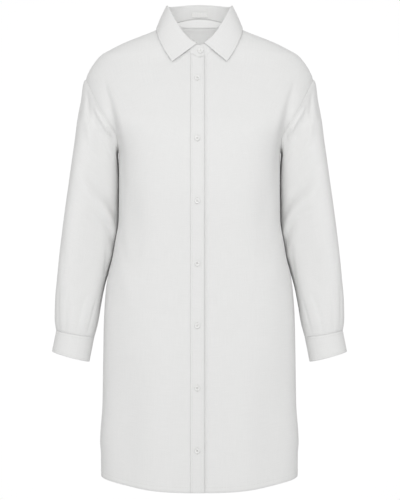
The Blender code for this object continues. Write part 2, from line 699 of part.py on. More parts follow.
def beside_body(points):
    """Points of the left sleeve, moved out to just beside the body where they would reach into it."""
    z = points[:, 2]
    off = points[:, 1] - MIDDLE_Y
    depth = np.where(off < 0, SECTION["front_depth"](z), SECTION["back_depth"](z))
    side = SECTION["half_width"](z) * roundness(np.clip(np.abs(off) / depth, 0, 1), section_power(z))
    short = np.clip(side + BODY_CLEAR - points[:, 0], 0, None)
    reach = smooth_step((BESIDE_FROM_Z - z) / (BESIDE_FROM_Z - BESIDE_TO_Z))
    points[:, 0] += short * reach
    return points


def sleeve_grid(rings, sides, mirrored):
    """Outer points and normals of a sleeve: rings down the arm, each from the outer line to the front."""
    turns = np.linspace(0, 2 * math.pi, sides + 1)[:-1]
    shares = np.linspace(0, 1, rings + 1) ** RING_BIAS
    side = np.where(turns <= math.pi, FRONT, BACK)
    around = np.where(turns <= math.pi, 1 - turns / math.pi, turns / math.pi - 1)
    places = armhole(around)
    first = np.array([body_point(p[0], p[1], s) for p, s in zip(places, side)])
    first[:, 0] += HEAD_OUT
    first[:, 2] -= HEAD_DOWN
    grid = np.zeros((rings + 1, sides, 3))
    left_over = first - sleeve_ring(0.0, turns)[0]
    for i, share in enumerate(shares):
        ring, middle = sleeve_ring(share, turns)
        out = ring - middle
        out /= np.linalg.norm(out, axis=1, keepdims=True)
        signed = np.where(turns > math.pi, turns - 2 * math.pi, turns)
        pull = fold_depth(SLEEVE_FOLDS, ARM_RADIUS, signed, np.full(sides, share * ARM_LENGTH))
        keep = 1 - smooth_step(share / HEAD_SHARE)
        grid[i] = ring + left_over * keep - out * (pull * (1 - keep))[:, None]
        ledge = smooth_step(share / LEDGE_START) * (1 - smooth_step(share / LEDGE_END))
        grid[i, :, 0] += HEAD_STEP * ledge * np.clip(np.cos(turns), 0, 1) ** 2
        grid[i] = beside_body(grid[i])
    if mirrored:
        grid[..., 0] *= -1
    normals = grid_normals(grid, closed_around=True)
    outward = grid - grid.mean(axis=1, keepdims=True)
    if (normals * outward).sum() < 0:
        normals = -normals
    return grid, normals


def cuff_grid(columns, rows, mirrored):
    """Outer points and normals of a cuff, a band whose ends lap at the back of the wrist."""
    top_middle, top_half, top_depth = ring_frame(1.0)
    outer, inner = np.array(CUFF_BOTTOM_OUTER), np.array(CUFF_BOTTOM_INNER)
    low_middle = (outer + inner) / 2
    low_half = (outer - inner) / 2
    down = unit(low_middle - top_middle)
    turns = np.linspace(CUFF_LAP_TURN - 2 * math.pi, CUFF_LAP_TURN + CUFF_LAP, columns + 1)
    step = CUFF_LAP_STEP * smooth_step((turns - CUFF_LAP_TURN + CUFF_STEP_BEFORE) / CUFF_STEP_RUN)
    grid = np.zeros((rows + 1, columns + 1, 3))
    for i in range(rows + 1):
        share = i / rows
        middle = mix(top_middle + down * SEAM_GAP * 1.5, low_middle, share)
        half, depth = mix(top_half, low_half, share), mix(top_depth, CUFF_HALF_DEPTH, share)
        spoke = np.cos(turns)[:, None] * half
        spoke[:, 1] -= np.sin(turns) * depth
        grid[i] = middle + spoke + unit(spoke) * step[:, None]
    if mirrored:
        grid[..., 0] *= -1
    normals = grid_normals(grid)
    outward = grid - grid.mean(axis=1, keepdims=True)
    if (normals * outward).sum() < 0:
        normals = -normals
    return grid, normals


def placket_grids(outer, normals):
    """Face and back of the placket, from the right front's first three columns moved out."""
    rows, out = outer[:, :3], normals[:, :3]
    return rows + out * (LAY_GAP + WALL), rows + out * LAY_GAP


def facing_grids(outer, normals):
    """Face and back of the neck facing, from the back's points round the neck moved in."""
    middle = outer.shape[1] // 2
    columns = range(middle - NECK_COLUMNS_BACK + 1, middle + NECK_COLUMNS_BACK)
    inside = outer - normals * WALL
    low, high = [], []
    for j in columns:
        heights, line, out = inside[:, j, 2], inside[:, j], normals[:, j]
        top = line[-1, 2] - FACING_SHORT
        edge = min(FACING_EDGE_Z, top - FACING_LEAST)
        points = [
            [np.interp(z, heights, line[:, axis]) for axis in range(3)]
            for z in (edge, (edge + top) / 2, top)
        ]
        low.append(points)
        high.append([[np.interp(p[2], heights, out[:, axis]) for axis in range(3)] for p in points])
    face = np.swapaxes(np.array(low), 0, 1)
    out = unit(np.swapaxes(np.array(high), 0, 1))
    return face - out * LAY_GAP * 2, face - out * (LAY_GAP * 2 + WALL)


def label_grids(columns):
    """Face and back of the label, on the inner side of the stand at the centre back."""
    half_turn = math.asin(LABEL_HALF_WIDTH / NECK_HALF_WIDTH)
    turns = np.linspace(-half_turn, half_turn, columns + 1)
    grid = np.zeros((2, columns + 1, 3))
    for j, turn in enumerate(turns):
        bottom, top = neckline(turn), stand_top(turn)
        for i, z in enumerate((LABEL_BOTTOM_Z, LABEL_TOP_Z)):
            grid[i, j] = mix(bottom, top, (z - bottom[2]) / (top[2] - bottom[2]))
    normals = grid_normals(grid)
    if normals[0, columns // 2, 1] < 0:
        normals = -normals
    back = grid - normals * (WALL + LAY_GAP * 2)
    return back, back - normals * LABEL_WALL


def placket_point(outer, normals, z):
    """A point on the placket's middle column at a height, with the way out of it."""
    face, _ = placket_grids(outer, normals)
    line, out = face[:, 1], normals[:, 1]
    point = np.array([np.interp(z, line[:, 2], line[:, axis]) for axis in range(3)])
    return point, unit(np.array([np.interp(z, line[:, 2], out[:, axis]) for axis in range(3)]))


def build():
    for old in list(bpy.data.objects):
        bpy.data.objects.remove(old)
    cloth = material("white cloth", (0.80, 0.80, 0.79), 0.88)
    facing_cloth = material("facing cloth", (0.82, 0.82, 0.81), 0.85)
    tape = material("label tape", (0.74, 0.74, 0.73), 0.70)
    shell = material("button", (0.78, 0.78, 0.77), 0.30)

    right, right_out = front_right_grid()
    left, left_out = front_left_grid()
    back, back_out = back_grid()
    add_cloth("front_right", right, right - right_out * WALL, cloth)
    add_cloth("front_left", left, left - left_out * WALL, cloth)
    add_cloth("back", back, back - back_out * WALL, cloth)
    for name, mirrored in (("right", True), ("left", False)):
        grid, out = sleeve_grid(SLEEVE_RINGS, SLEEVE_SIDES, mirrored)
        add_cloth("sleeve_" + name, grid, grid - out * WALL, cloth, closed_around=True)
        band, band_out = cuff_grid(CUFF_SIDES, 2, mirrored)
        add_cloth("cuff_" + name, band, band - band_out * WALL, cloth)
        at = round((2 * math.pi + CUFF_LAP / 2) / (2 * math.pi + CUFF_LAP) * CUFF_SIDES)
        add_button("cuff_button_" + name, band[1, at] + band_out[1, at] * LAY_GAP * 2, band_out[1, at], shell)
    stand, stand_out = stand_grid(2)
    add_cloth("collar_stand", stand, stand - stand_out * WALL, cloth)
    under, under_in = fall_grid(FALL_COLUMNS, FALL_ROLL_ROWS, FALL_FLAT_ROWS)
    add_cloth("collar", under, under - under_in * WALL, cloth)
    add_cloth("placket", *placket_grids(right, right_out), cloth)
    add_cloth("neck_facing", *facing_grids(back, back_out), facing_cloth)
    add_cloth("neck_label", *label_grids(LABEL_COLUMNS), tape)
    for k in range(BUTTON_COUNT):
        point, out = placket_point(right, right_out, BUTTON_FIRST_Z - k * BUTTON_SPACING)
        add_button(f"button_{k + 1}", point + out * LAY_GAP, out, shell)
    column = stand.shape[1] - len(STAND_OVER_COLUMNS) + COLLAR_BUTTON_COLUMN
    point, out = stand[1, column], stand_out[1, column]
    add_button("button_collar", point + out * LAY_GAP, out, shell)


build()
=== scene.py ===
"""The looks of the shirt dress: thin white cloth shells over the solids, with creases, hems,
stitching, buttons and buttonholes, and a studio round them.

Metres, +Z up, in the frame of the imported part. The front faces -Y and the wearer's left is +X.
The form functions and most tables repeat those of the part's source, and a finer grid carries
the creases. Three forms differ, and there the shells do not lie on their solids: the sleeves come
further forward beside the body (shells up to 15 mm from the solids), the crease by each armhole
is shallower (up to 9 mm), and the heads of the sleeves sit closer (about 0.5 mm).
"""

import math

import bpy
import numpy as np
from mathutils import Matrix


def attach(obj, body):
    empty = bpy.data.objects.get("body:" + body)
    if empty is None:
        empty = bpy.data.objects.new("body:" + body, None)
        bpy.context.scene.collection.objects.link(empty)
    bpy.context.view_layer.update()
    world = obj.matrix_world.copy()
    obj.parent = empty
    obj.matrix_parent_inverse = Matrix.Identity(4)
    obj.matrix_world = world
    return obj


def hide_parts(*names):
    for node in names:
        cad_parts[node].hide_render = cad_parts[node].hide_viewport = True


# Camera and studio
CAMERA_PLACE = (0.001, -3.0, -0.434)
CAMERA_LENS = 108.0
SENSOR_HEIGHT = 36.0
FLOOR_Z = -1.45
FLOOR_RADIUS = 2.2
FLOOR_SIDES = 96
WORLD_SIDE = 0.57
WORLD_FRONT = 0.45
FRONT_LIGHT = 20.0
FRONT_LIGHT_PLACE = (0.0, -2.5, 0.50)
FRONT_LIGHT_SIZE = 1.6
LIGHT_AIM = (0.0, 0.0, -0.20)
NECK_LIGHT = 0.045
NECK_LIGHT_PLACE = (0.0, -0.020, -0.100)
NECK_LIGHT_SIZE = 0.05
NECK_LIGHT_AIM = (0.0, 0.060, 0.020)

# Cloth: the wall of the solids, and the thinner one of the panels and sleeves here
WALL = 0.0012
THIN = 0.0008
SEAM_GAP = 0.0004
LAY_GAP = 0.0004
FRONT, BACK = -1, 1

# The wearer's sides, and whether the pieces of each are mirrored
SIDES = (("right", True), ("left", False))

# Body
MIDDLE_Y = -0.010
SECTION_POWER = 2.25
LOW_POWER = 3.10
LOW_POWER_FROM_Z = -0.090
LOW_POWER_TO_Z = -0.200
FLARE_POWER = 3.20
FLARE_FROM_Z = -0.700
FLARE_TO_Z = -0.770
HEM_FRONT_Z = -0.8996
HEM_SIDE_Z = -0.8758
HEM_POWER = 2.3
VENT_TOP_Z = -0.730
VENT_PULL = 0.0025
VENT_RUN = 0.020
TOP_REACH_Z = -0.360
HEM_REACH_Z = -0.700
UNDERARM_Z = -0.238
SHOULDER_TIP_Z = -0.094
ARMHOLE_DEPTH = 0.50

# Level sections of the body, from the hem up to the back neck
SECTION_COLUMNS = ("height", "half_width", "front_depth", "back_depth")
SECTIONS = (
    (-0.910, 0.1940, 0.1160, 0.1120),
    (-0.834, 0.1940, 0.1150, 0.1110),
    (-0.812, 0.1955, 0.1145, 0.1105),
    (-0.734, 0.1905, 0.1125, 0.1090),
    (-0.634, 0.1892, 0.1100, 0.1070),
    (-0.574, 0.1884, 0.1085, 0.1050),
    (-0.514, 0.1852, 0.1080, 0.1040),
    (-0.480, 0.1808, 0.1085, 0.1025),
    (-0.454, 0.1740, 0.1090, 0.1015),
    (-0.414, 0.1668, 0.1110, 0.1000),
    (-0.374, 0.1605, 0.1150, 0.1020),
    (-0.300, 0.1595, 0.1205, 0.1080),
    (-0.255, 0.1602, 0.1205, 0.1110),
    (-0.238, 0.1615, 0.1195, 0.1120),
    (-0.217, 0.1690, 0.1170, 0.1120),
    (-0.205, 0.1770, 0.1150, 0.1120),
    (-0.178, 0.2005, 0.1070, 0.1110),
    (-0.148, 0.2200, 0.0950, 0.1080),
    (-0.118, 0.2260, 0.0835, 0.1020),
    (-0.094, 0.2255, 0.0725, 0.0960),
    (-0.078, 0.2195, 0.0650, 0.0915),
    (-0.062, 0.2095, 0.0575, 0.0870),
    (-0.046, 0.1955, 0.0520, 0.0820),
    (-0.038, 0.1820, 0.0490, 0.0790),
    (-0.022, 0.1505, 0.0420, 0.0720),
    (-0.012, 0.1262, 0.0360, 0.0670),
    (0.000, 0.0955, 0.0290, 0.0620),
    (0.005, 0.0845, 0.0235, 0.0600),
    (0.009, 0.0755, 0.0160, 0.0580),
    (0.014, 0.0660, 0.0000, 0.0560),
    (0.040, 0.0660, 0.0000, 0.0560),
)

# The crease in front of and behind each armhole, where the cloth dips between chest and arm
DIP_WIDTH_IN = 0.0075
DIP_WIDTH_OUT = 0.013
DIP_COLUMNS = ("height", "across", "share_of_depth")
DIPS = (
    (-0.340, 0.150, 0.00),
    (-0.280, 0.153, 0.10),
    (-0.238, 0.158, 0.27),
    (-0.210, 0.163, 0.26),
    (-0.174, 0.169, 0.13),
    (-0.134, 0.179, 0.06),
    (-0.098, 0.191, 0.00),
)

# Neck, stand and collar
NECK_HALF_WIDTH = 0.066
NECK_STEP = math.radians(15)
TURN_SLACK = 1e-6
TURN_BESIDE = 0.02
NECK_FRONT_Z = -0.058
NECK_SIDE_Z = 0.014
NECK_BACK_Z = 0.034
NECK_POWER = 1.6
FOLD_FRONT_Z = -0.028
FOLD_SIDE_Z = 0.0530
FOLD_BACK_Z = 0.063
FOLD_POWER = 1.9
STAND_TOP_HALF_WIDTH = 0.0635
STAND_TOP_FRONT_DEPTH = 0.0490
STAND_TOP_BACK_DEPTH = 0.0515
STAND_STEPS = 11
STAND_END_ROUND = 0.012
STAND_END_DROP = 0.6
LAP_STEP = 0.0020
ROLL_RADIUS = 0.0010
ROLL_LIFT = 0.0004
ROLL_TURN = math.radians(168)
FALL_BULGE = 0.0012
FALL_TURN_FROM = 0.8
FALL_END_RIGHT_X = -0.0060
FALL_END_LEFT_X = 0.0105

# The collar fall's free edge, from the centre back to the point
EDGE_COLUMNS = ("share", "across", "back_to_front", "height")
FALL_EDGE = (
    (0.00, 0.0000, 0.0570, 0.0190),
    (0.17, 0.0290, 0.0530, 0.0175),
    (0.33, 0.0590, 0.0380, 0.0140),
    (0.47, 0.0810, 0.0130, 0.0100),
    (0.55, 0.0850, -0.0080, 0.0082),
    (0.62, 0.0846, -0.0230, 0.0035),
    (0.70, 0.0825, -0.0390, -0.0080),
    (0.84, 0.0720, -0.0570, -0.0350),
    (1.00, 0.0535, -0.0720, -0.0655),
)

# Placket, facing, label and buttons
PLACKET_LEFT_X = 0.0090
PLACKET_RIGHT_X = -NECK_HALF_WIDTH * math.sin(NECK_STEP)
BUTTON_LINE_X = -0.0040
UNDERLAP_X = -0.0160
UNDERLAP_MIDDLE_X = -0.0030
UNDERLAP_STEP_X = 0.0110
UNDERLAP_FLAT_X = -PLACKET_RIGHT_X
STAND_UNDER_COLUMNS = (UNDERLAP_X, -0.0135, -0.0090, UNDERLAP_MIDDLE_X, 0.0040, UNDERLAP_STEP_X)
STAND_OVER_COLUMNS = (-0.0110, BUTTON_LINE_X, 0.0020, 0.0060, PLACKET_LEFT_X)
UNDER_SEAM = (UNDERLAP_X, UNDERLAP_MIDDLE_X, UNDERLAP_STEP_X, UNDERLAP_FLAT_X)
OVER_SEAM = (PLACKET_RIGHT_X, BUTTON_LINE_X, PLACKET_LEFT_X)
BUTTON_COUNT = 7
BUTTON_FIRST_Z = -0.1000
BUTTON_SPACING = 0.1198
BUTTON_RADIUS = 0.0054
COLLAR_BUTTON_COLUMN = 2
FACING_EDGE_Z = 0.0160
FACING_SHORT = 0.0006
FACING_LEAST = 0.0040
LABEL_HALF_WIDTH = 0.016
LABEL_BOTTOM_Z = 0.0375
LABEL_TOP_Z = 0.0480
LABEL_WALL = 0.0010

# Rings of the left sleeve along the arm: its outer and inner line, and half of its depth
RING_COLUMNS = ("share", "outer_x", "outer_y", "outer_z", "inner_x", "inner_y", "inner_z", "half_depth")
RINGS = (
    (0.000, 0.2260, -0.010, -0.0945, 0.1625, -0.010, -0.2385, 0.066),
    (0.030, 0.2300, -0.012, -0.1080, 0.1655, -0.007, -0.2470, 0.064),
    (0.080, 0.2350, -0.016, -0.1340, 0.1632, 0.003, -0.2630, 0.061),
    (0.160, 0.2418, -0.021, -0.1740, 0.1612, 0.010, -0.2860, 0.059),
    (0.240, 0.2465, -0.026, -0.2140, 0.1605, 0.012, -0.3080, 0.058),
    (0.330, 0.2520, -0.031, -0.2560, 0.1605, 0.014, -0.3360, 0.057),
    (0.430, 0.2580, -0.036, -0.3020, 0.1610, 0.014, -0.3680, 0.055),
    (0.530, 0.2642, -0.040, -0.3480, 0.1635, 0.012, -0.4020, 0.052),
    (0.630, 0.2702, -0.044, -0.3960, 0.1690, 0.006, -0.4360, 0.049),
    (0.730, 0.2756, -0.047, -0.4440, 0.1800, -0.002, -0.4720, 0.045),
    (0.820, 0.2800, -0.049, -0.4900, 0.1895, -0.014, -0.5080, 0.042),
    (0.900, 0.2838, -0.050, -0.5340, 0.1955, -0.026, -0.5440, 0.040),
    (0.960, 0.2845, -0.051, -0.5700, 0.2000, -0.036, -0.5760, 0.038),
    (0.985, 0.2830, -0.051, -0.5840, 0.2040, -0.039, -0.5930, 0.0355),
    (1.000, 0.2815, -0.051, -0.5915, 0.2075, -0.041, -0.6055, 0.033),
)
SLEEVE_OUTER_POWER = 2.40
SLEEVE_INNER_POWER = 4.60
SLEEVE_ROUND_FROM = 0.75
RING_BIAS = 1.15
HEAD_STEP = 0.0032
HEAD_OUT = 0.0002
HEAD_DOWN = 0.0001
HEAD_SHARE = 0.16
BODY_CLEAR = 0.0009
BESIDE_FROM_Z = -0.240
BESIDE_TO_Z = -0.275
LEDGE_START = 0.007
LEDGE_END = 0.10
CUFF_BOTTOM_OUTER = (0.2895, -0.054, -0.6325)
CUFF_BOTTOM_INNER = (0.2165, -0.048, -0.6530)
CUFF_HALF_DEPTH = 0.033
CUFF_LAP_TURN = math.radians(300)
CUFF_LAP = math.radians(38)
CUFF_LAP_STEP = 0.0019
CUFF_STEP_BEFORE = math.radians(26)
CUFF_STEP_RUN = math.radians(23)
CUFF_GAP = 0.0006
ARM_LENGTH = 0.545
ARM_RADIUS = 0.050

# Folds, each a soft trough (depth over 0) or ridge (under 0) along a straight line in the
# unrolled cloth. On the body "around" is measured from the centre front to the wearer's left
# on a circle of BODY_RADIUS, and "along" is the height. On a sleeve it is measured from the
# outer line to the front on a circle of ARM_RADIUS, and "along" is the way down the arm.
FOLD_COLUMNS = ("from_around", "from_along", "to_around", "to_along", "half_width", "depth")
FOLD_FADE = 0.7
BODY_RADIUS = 0.150
BODY_FOLDS = (
    (-0.150, -0.300, -0.112, -0.500, 0.026, 0.0026),
    (0.150, -0.290, 0.116, -0.480, 0.026, 0.0028),
    (-0.128, -0.640, -0.120, -0.960, 0.030, 0.0040),
    (0.125, -0.660, 0.118, -0.960, 0.030, 0.0036),
    (-0.060, -0.560, -0.066, -0.960, 0.030, -0.0045),
    (0.070, -0.600, 0.062, -0.960, 0.028, -0.0040),
    (-0.190, -0.480, -0.186, -0.960, 0.030, -0.0050),
    (0.188, -0.500, 0.184, -0.960, 0.028, -0.0050),
    (-0.290, -0.300, -0.300, -0.960, 0.034, 0.0070),
    (0.270, -0.260, 0.290, -0.960, 0.032, 0.0065),
    (-0.370, -0.220, -0.380, -0.960, 0.034, -0.0050),
    (0.360, -0.240, 0.375, -0.960, 0.032, -0.0055),
    (0.450, -0.180, 0.462, -0.960, 0.036, 0.0055),
)
SLEEVE_FOLDS = (
    (0.052, 0.020, 0.070, 0.110, 0.012, -0.0045),
    (0.020, 0.010, 0.024, 0.090, 0.012, 0.0040),
    (0.050, 0.165, 0.135, 0.250, 0.020, 0.0038),
    (0.062, 0.215, 0.140, 0.300, 0.015, -0.0030),
    (0.085, 0.270, 0.150, 0.350, 0.014, 0.0024),
    (-0.050, 0.170, -0.135, 0.240, 0.018, 0.0055),
    (-0.060, 0.240, -0.140, 0.310, 0.016, -0.0050),
    (-0.070, 0.310, -0.140, 0.370, 0.016, 0.0045),
    (-0.040, 0.030, -0.060, 0.130, 0.016, -0.0040),
    (0.157, 0.030, 0.157, 0.150, 0.030, -0.0016),
)

# Finer creases, which the solids leave out, in the same columns as the folds
CREASE_START = 0.02
BODY_CREASES = (
    (-0.146, -0.096, -0.133, -0.150, 0.0036, 0.0008),
    (0.144, -0.102, 0.133, -0.154, 0.0036, 0.0008),
    (-0.190, -0.400, -0.130, -0.470, 0.012, 0.0014),
    (0.186, -0.390, 0.130, -0.455, 0.013, 0.0015),
    (-0.150, -0.470, -0.110, -0.540, 0.014, -0.0012),
    (0.152, -0.460, 0.112, -0.520, 0.013, -0.0012),
    (-0.060, -0.090, -0.120, -0.150, 0.012, 0.0008),
    (0.062, -0.095, 0.125, -0.150, 0.012, 0.0009),
    (-0.290, -0.160, -0.330, -0.320, 0.014, 0.0022),
    (0.285, -0.170, 0.320, -0.340, 0.013, 0.0020),
    (-0.400, -0.120, -0.410, -0.360, 0.018, 0.0018),
    (0.410, -0.130, 0.405, -0.340, 0.017, 0.0016),
    (-0.350, -0.430, -0.290, -0.520, 0.015, 0.0016),
    (0.345, -0.450, 0.290, -0.530, 0.014, 0.0018),
    (-0.440, -0.520, -0.380, -0.640, 0.020, -0.0014),
    (0.430, -0.560, 0.380, -0.690, 0.020, -0.0014),
)
SLEEVE_CREASES = (
    (0.040, 0.010, 0.061, 0.068, 0.0075, 0.0032),
    (0.062, 0.016, 0.102, 0.024, 0.0055, -0.0030),
    (0.066, 0.040, 0.104, 0.070, 0.0080, 0.0016),
    (-0.045, 0.012, -0.064, 0.075, 0.0080, 0.0028),
    (-0.070, 0.018, -0.105, 0.028, 0.0060, -0.0022),
    (0.030, 0.455, 0.034, 0.545, 0.0045, 0.0014),
    (0.058, 0.470, 0.056, 0.545, 0.0040, 0.0012),
    (0.088, 0.462, 0.084, 0.545, 0.0045, 0.0015),
    (0.118, 0.475, 0.114, 0.545, 0.0040, 0.0012),
    (-0.020, 0.470, -0.020, 0.545, 0.0040, 0.0012),
    (-0.052, 0.455, -0.050, 0.545, 0.0050, 0.0018),
    (-0.078, 0.460, -0.074, 0.545, 0.0045, 0.0018),
    (-0.104, 0.468, -0.100, 0.545, 0.0045, 0.0013),
    (0.148, 0.470, 0.146, 0.545, 0.0040, 0.0012),
)
RIGHT_CREASES = (
    (0.058, 0.176, 0.150, 0.196, 0.0180, 0.0020),
    (0.060, 0.196, 0.118, 0.262, 0.0150, -0.0026),
    (0.070, 0.262, 0.118, 0.292, 0.0080, 0.0020),
    (0.098, 0.320, 0.132, 0.430, 0.0090, 0.0018),
    (0.020, 0.340, 0.046, 0.440, 0.0120, 0.0012),
    (-0.060, 0.200, -0.120, 0.240, 0.0090, 0.0036),
    (-0.055, 0.226, -0.118, 0.276, 0.0090, -0.0030),
    (-0.080, 0.290, -0.126, 0.330, 0.0080, 0.0022),
)
LEFT_CREASES = (
    (0.054, 0.186, 0.150, 0.194, 0.0190, 0.0018),
    (0.056, 0.210, 0.122, 0.256, 0.0150, -0.0024),
    (0.074, 0.258, 0.122, 0.300, 0.0080, 0.0022),
    (0.104, 0.330, 0.130, 0.440, 0.0085, 0.0016),
    (0.026, 0.330, 0.044, 0.420, 0.0120, 0.0013),
    (-0.058, 0.190, -0.122, 0.246, 0.0090, 0.0034),
    (-0.060, 0.218, -0.116, 0.282, 0.0090, -0.0030),
    (-0.076, 0.300, -0.128, 0.322, 0.0080, 0.0022),
)

# Sewing
HEM_DEPTH = 0.011
HEM_THICK = 0.0010
HEM_EDGE = 0.0010
RIM_BULGE = 0.4
STITCH_LENGTH = 0.0022
STITCH_PITCH = 0.0031
STITCH_RADIUS = 0.00024
STITCH_SUNK = 0.00008
STITCH_SIDES = 5
STITCH_DIVE = 1.3
STITCH_RINGS = ((0.0, 0.35), (0.16, 0.85), (0.5, 1.0), (0.84, 0.85), (1.0, 0.35))
COLLAR_STITCH_IN = 0.0050
STAND_STITCH_IN = 0.0020
PLACKET_STITCH_IN = 0.0040
CUFF_STITCH_IN = 0.0045
SLEEVE_STITCH_IN = 0.0022
HEM_STITCH_IN = 0.0100
HOLE_LENGTH = 0.0135
HOLE_WIDTH = 0.0026
HOLE_LIFT = 0.0003
HOLE_BAND = 0.36
HOLE_RIDGE = 0.12
HOLE_END_TURN = 6
HOLE_PROFILE = ((-0.5, 0.0), (-0.3, 0.8), (0.0, 1.0), (0.3, 0.8), (0.5, 0.0))

# Buttons
BUTTON_HOLE_OFF = 0.00156
BUTTON_HOLE_RADIUS = 0.00075
BUTTON_HOLES = ((-1, -1), (-1, 1), (1, 1), (1, -1))
BUTTON_SHARP_ANGLE = math.radians(40)
DRILL_ENDS = (-0.002, 0.004)
THREAD_HEIGHT = 0.00175
THREAD_RADIUS = 0.00021
THREAD_APART = 0.00022
THREAD_RISE = 0.00035
THREAD_DIVE = 0.0009
THREAD_DIVE_POWER = 6
BUTTON_SHAPE = (
    (0.80, 0.0002),
    (0.96, 0.0007),
    (1.00, 0.0013),
    (0.985, 0.0020),
    (0.93, 0.0025),
    (0.86, 0.0026),
    (0.78, 0.0023),
    (0.70, 0.0018),
    (0.60, 0.0016),
)

# Flat size of the cloth that each piece is cut from
FRONT_FLAT = (0.300, 0.930)
BACK_FLAT = (0.540, 0.950)
FACING_FLAT = (0.150, 0.020)
LABEL_FLAT = (0.032, 0.0105)

# Looks of the cloths: light and dark colour, pitch of the threads, how uneven they are, light let through
BODY_LOOK = ((0.885, 0.885, 0.878), (0.855, 0.855, 0.848), 0.00055, 0.8, 0.14)
COLLAR_LOOK = ((0.858, 0.858, 0.851), (0.832, 0.832, 0.825), 0.00050, 0.6, 0.10)
FACING_LOOK = ((0.890, 0.890, 0.883), (0.865, 0.865, 0.858), 0.00045, 0.3, 0.03)
TAPE_LOOK = ((0.82, 0.82, 0.81), (0.77, 0.77, 0.76), 0.00040, 0.2, 0.0)
SLUBS_ALONG = (34.0, 900.0, 1.0)
SLUBS_ACROSS = (900.0, 26.0, 1.0)
SHELL_GREYS = ((0.76, 0.76, 0.75), (0.87, 0.87, 0.86))
SHELL_SPAN = (0.30, 0.70)
THREAD_GREYS = ((0.66, 0.66, 0.64), (0.82, 0.82, 0.80))
FLOOR_GREYS = ((0.84, 0.84, 0.84), (0.88, 0.88, 0.88))

# Grid counts, and how many times finer than the solids these shells are
FINE_FRONT = 11
FINE_BACK = 8
BODY_ROWS_LOW = 12
BODY_ROWS_HIGH = 10
HIGH_ROW_BIAS = 1.6
NECK_COLUMNS_FRONT = 5
NECK_COLUMNS_BACK = 6
SHOULDER_COLUMNS = 8
STRIP_COLUMNS = 8
SLEEVE_ROWS = 170
SLEEVE_AROUND = 130
CUFF_ROWS = 16
CUFF_AROUND = 130
FALL_COLUMNS = 72
FALL_ROLL_ROWS = 10
FALL_FLAT_ROWS = 22
STAND_FINER = 5
STAND_ROWS = 12
SEAM_SAMPLES = 200
HEM_ROWS = 8
FACING_ROWS = 8
LABEL_COLUMNS = 24
LABEL_ROWS = 8
HOLE_STITCHES = 96
BUTTON_ROUND = 48
DRILL_SIDES = 16
THREAD_RINGS = 9
THREAD_SIDES = 8

def smooth_curve(at, value):
    """A curve through the points (at, value) that never overshoots them, as a function."""
    at, value = np.asarray(at, float), np.asarray(value, float)
    step = np.diff(at)
    slope = np.diff(value) / step
    tangent = np.zeros_like(value)
    tangent[0], tangent[-1] = slope[0], slope[-1]
    for i in range(1, len(at) - 1):
        if slope[i - 1] * slope[i] > 0:
            before, after = 2 * step[i] + step[i - 1], step[i] + 2 * step[i - 1]
            tangent[i] = (before + after) / (before / slope[i - 1] + after / slope[i])

    def curve(x):
        x = np.clip(x, at[0], at[-1])
        i = np.clip(np.searchsorted(at, x, side="right") - 1, 0, len(step) - 1)
        t = (x - at[i]) / step[i]
        start = (1 + 2 * t) * (1 - t) ** 2 * value[i] + t * (1 - t) ** 2 * step[i] * tangent[i]
        end = t * t * (3 - 2 * t) * value[i + 1] + t * t * (t - 1) * step[i] * tangent[i + 1]
        return start + end

    return curve


def table_curves(columns, rows):
    """One smooth curve for each column of a table after the first, by the column's name."""
    values = np.array(rows, float)
    return {name: smooth_curve(values[:, 0], values[:, i + 1]) for i, name in enumerate(columns[1:])}


SECTION = table_curves(SECTION_COLUMNS, SECTIONS)
DIP = table_curves(DIP_COLUMNS, DIPS)
EDGE = table_curves(EDGE_COLUMNS, FALL_EDGE)
RING = table_curves(RING_COLUMNS, RINGS)


def mix(a, b, share):
    return a + (b - a) * share


def smooth_step(x):
    x = np.clip(x, 0.0, 1.0)
    return x * x * (3 - 2 * x)


def unit(vectors):
    return vectors / np.linalg.norm(vectors, axis=-1, keepdims=True)


def turns_round(count):
    """Turns in radians, evenly round a full circle."""
    return np.linspace(0, 2 * math.pi, count + 1)[:-1]


def run_along(points):
    """How far along a line each of its points lies."""
    return np.concatenate([[0], np.cumsum(np.linalg.norm(np.diff(points, axis=0), axis=-1))])


def point_at(at, run, points):
    """Points of a line, or normals along it, at given places of its run."""
    return np.stack([np.interp(at, run, points[:, axis]) for axis in range(3)], axis=-1)


def closed(grid):
    """A grid with its first column once more at its end."""
    return np.concatenate([grid, grid[:, :1]], axis=1)


def roundness(share, power=SECTION_POWER):
    """How deep a section is at a share of its half width, from 1 in the middle to 0 at the side."""
    return (1 - np.clip(share, 0, 1) ** power) ** (1 / power)


def section_power(z):
    """How square a level section is: round at the shoulders, squarer below them, most by the vents."""
    low = smooth_step((LOW_POWER_FROM_Z - z) / (LOW_POWER_FROM_Z - LOW_POWER_TO_Z))
    flare = smooth_step((FLARE_FROM_Z - z) / (FLARE_FROM_Z - FLARE_TO_Z))
    return mix(mix(SECTION_POWER, LOW_POWER, low), FLARE_POWER, flare)


def fold_depth(folds, radius, turn, along):
    """Sum of the folds at a turn in radians and a place along, positive into the garment."""
    full = 2 * math.pi * radius
    total = np.zeros(np.broadcast(turn, along).shape)
    for row in folds:
        fold = dict(zip(FOLD_COLUMNS, row))
        run_around = fold["to_around"] - fold["from_around"]
        run_along = fold["to_along"] - fold["from_along"]
        run = math.hypot(run_around, run_along)
        around = (turn * radius - fold["from_around"] + full / 2) % full - full / 2
        down = along - fold["from_along"]
        share = np.clip((around * run_around + down * run_along) / run**2, 0, 1)
        off = (around * run_along - down * run_around) / run
        fade = (4 * share * (1 - share)) ** FOLD_FADE
        total += fold["depth"] * np.exp(-((off / fold["half_width"]) ** 2)) * fade
    return total


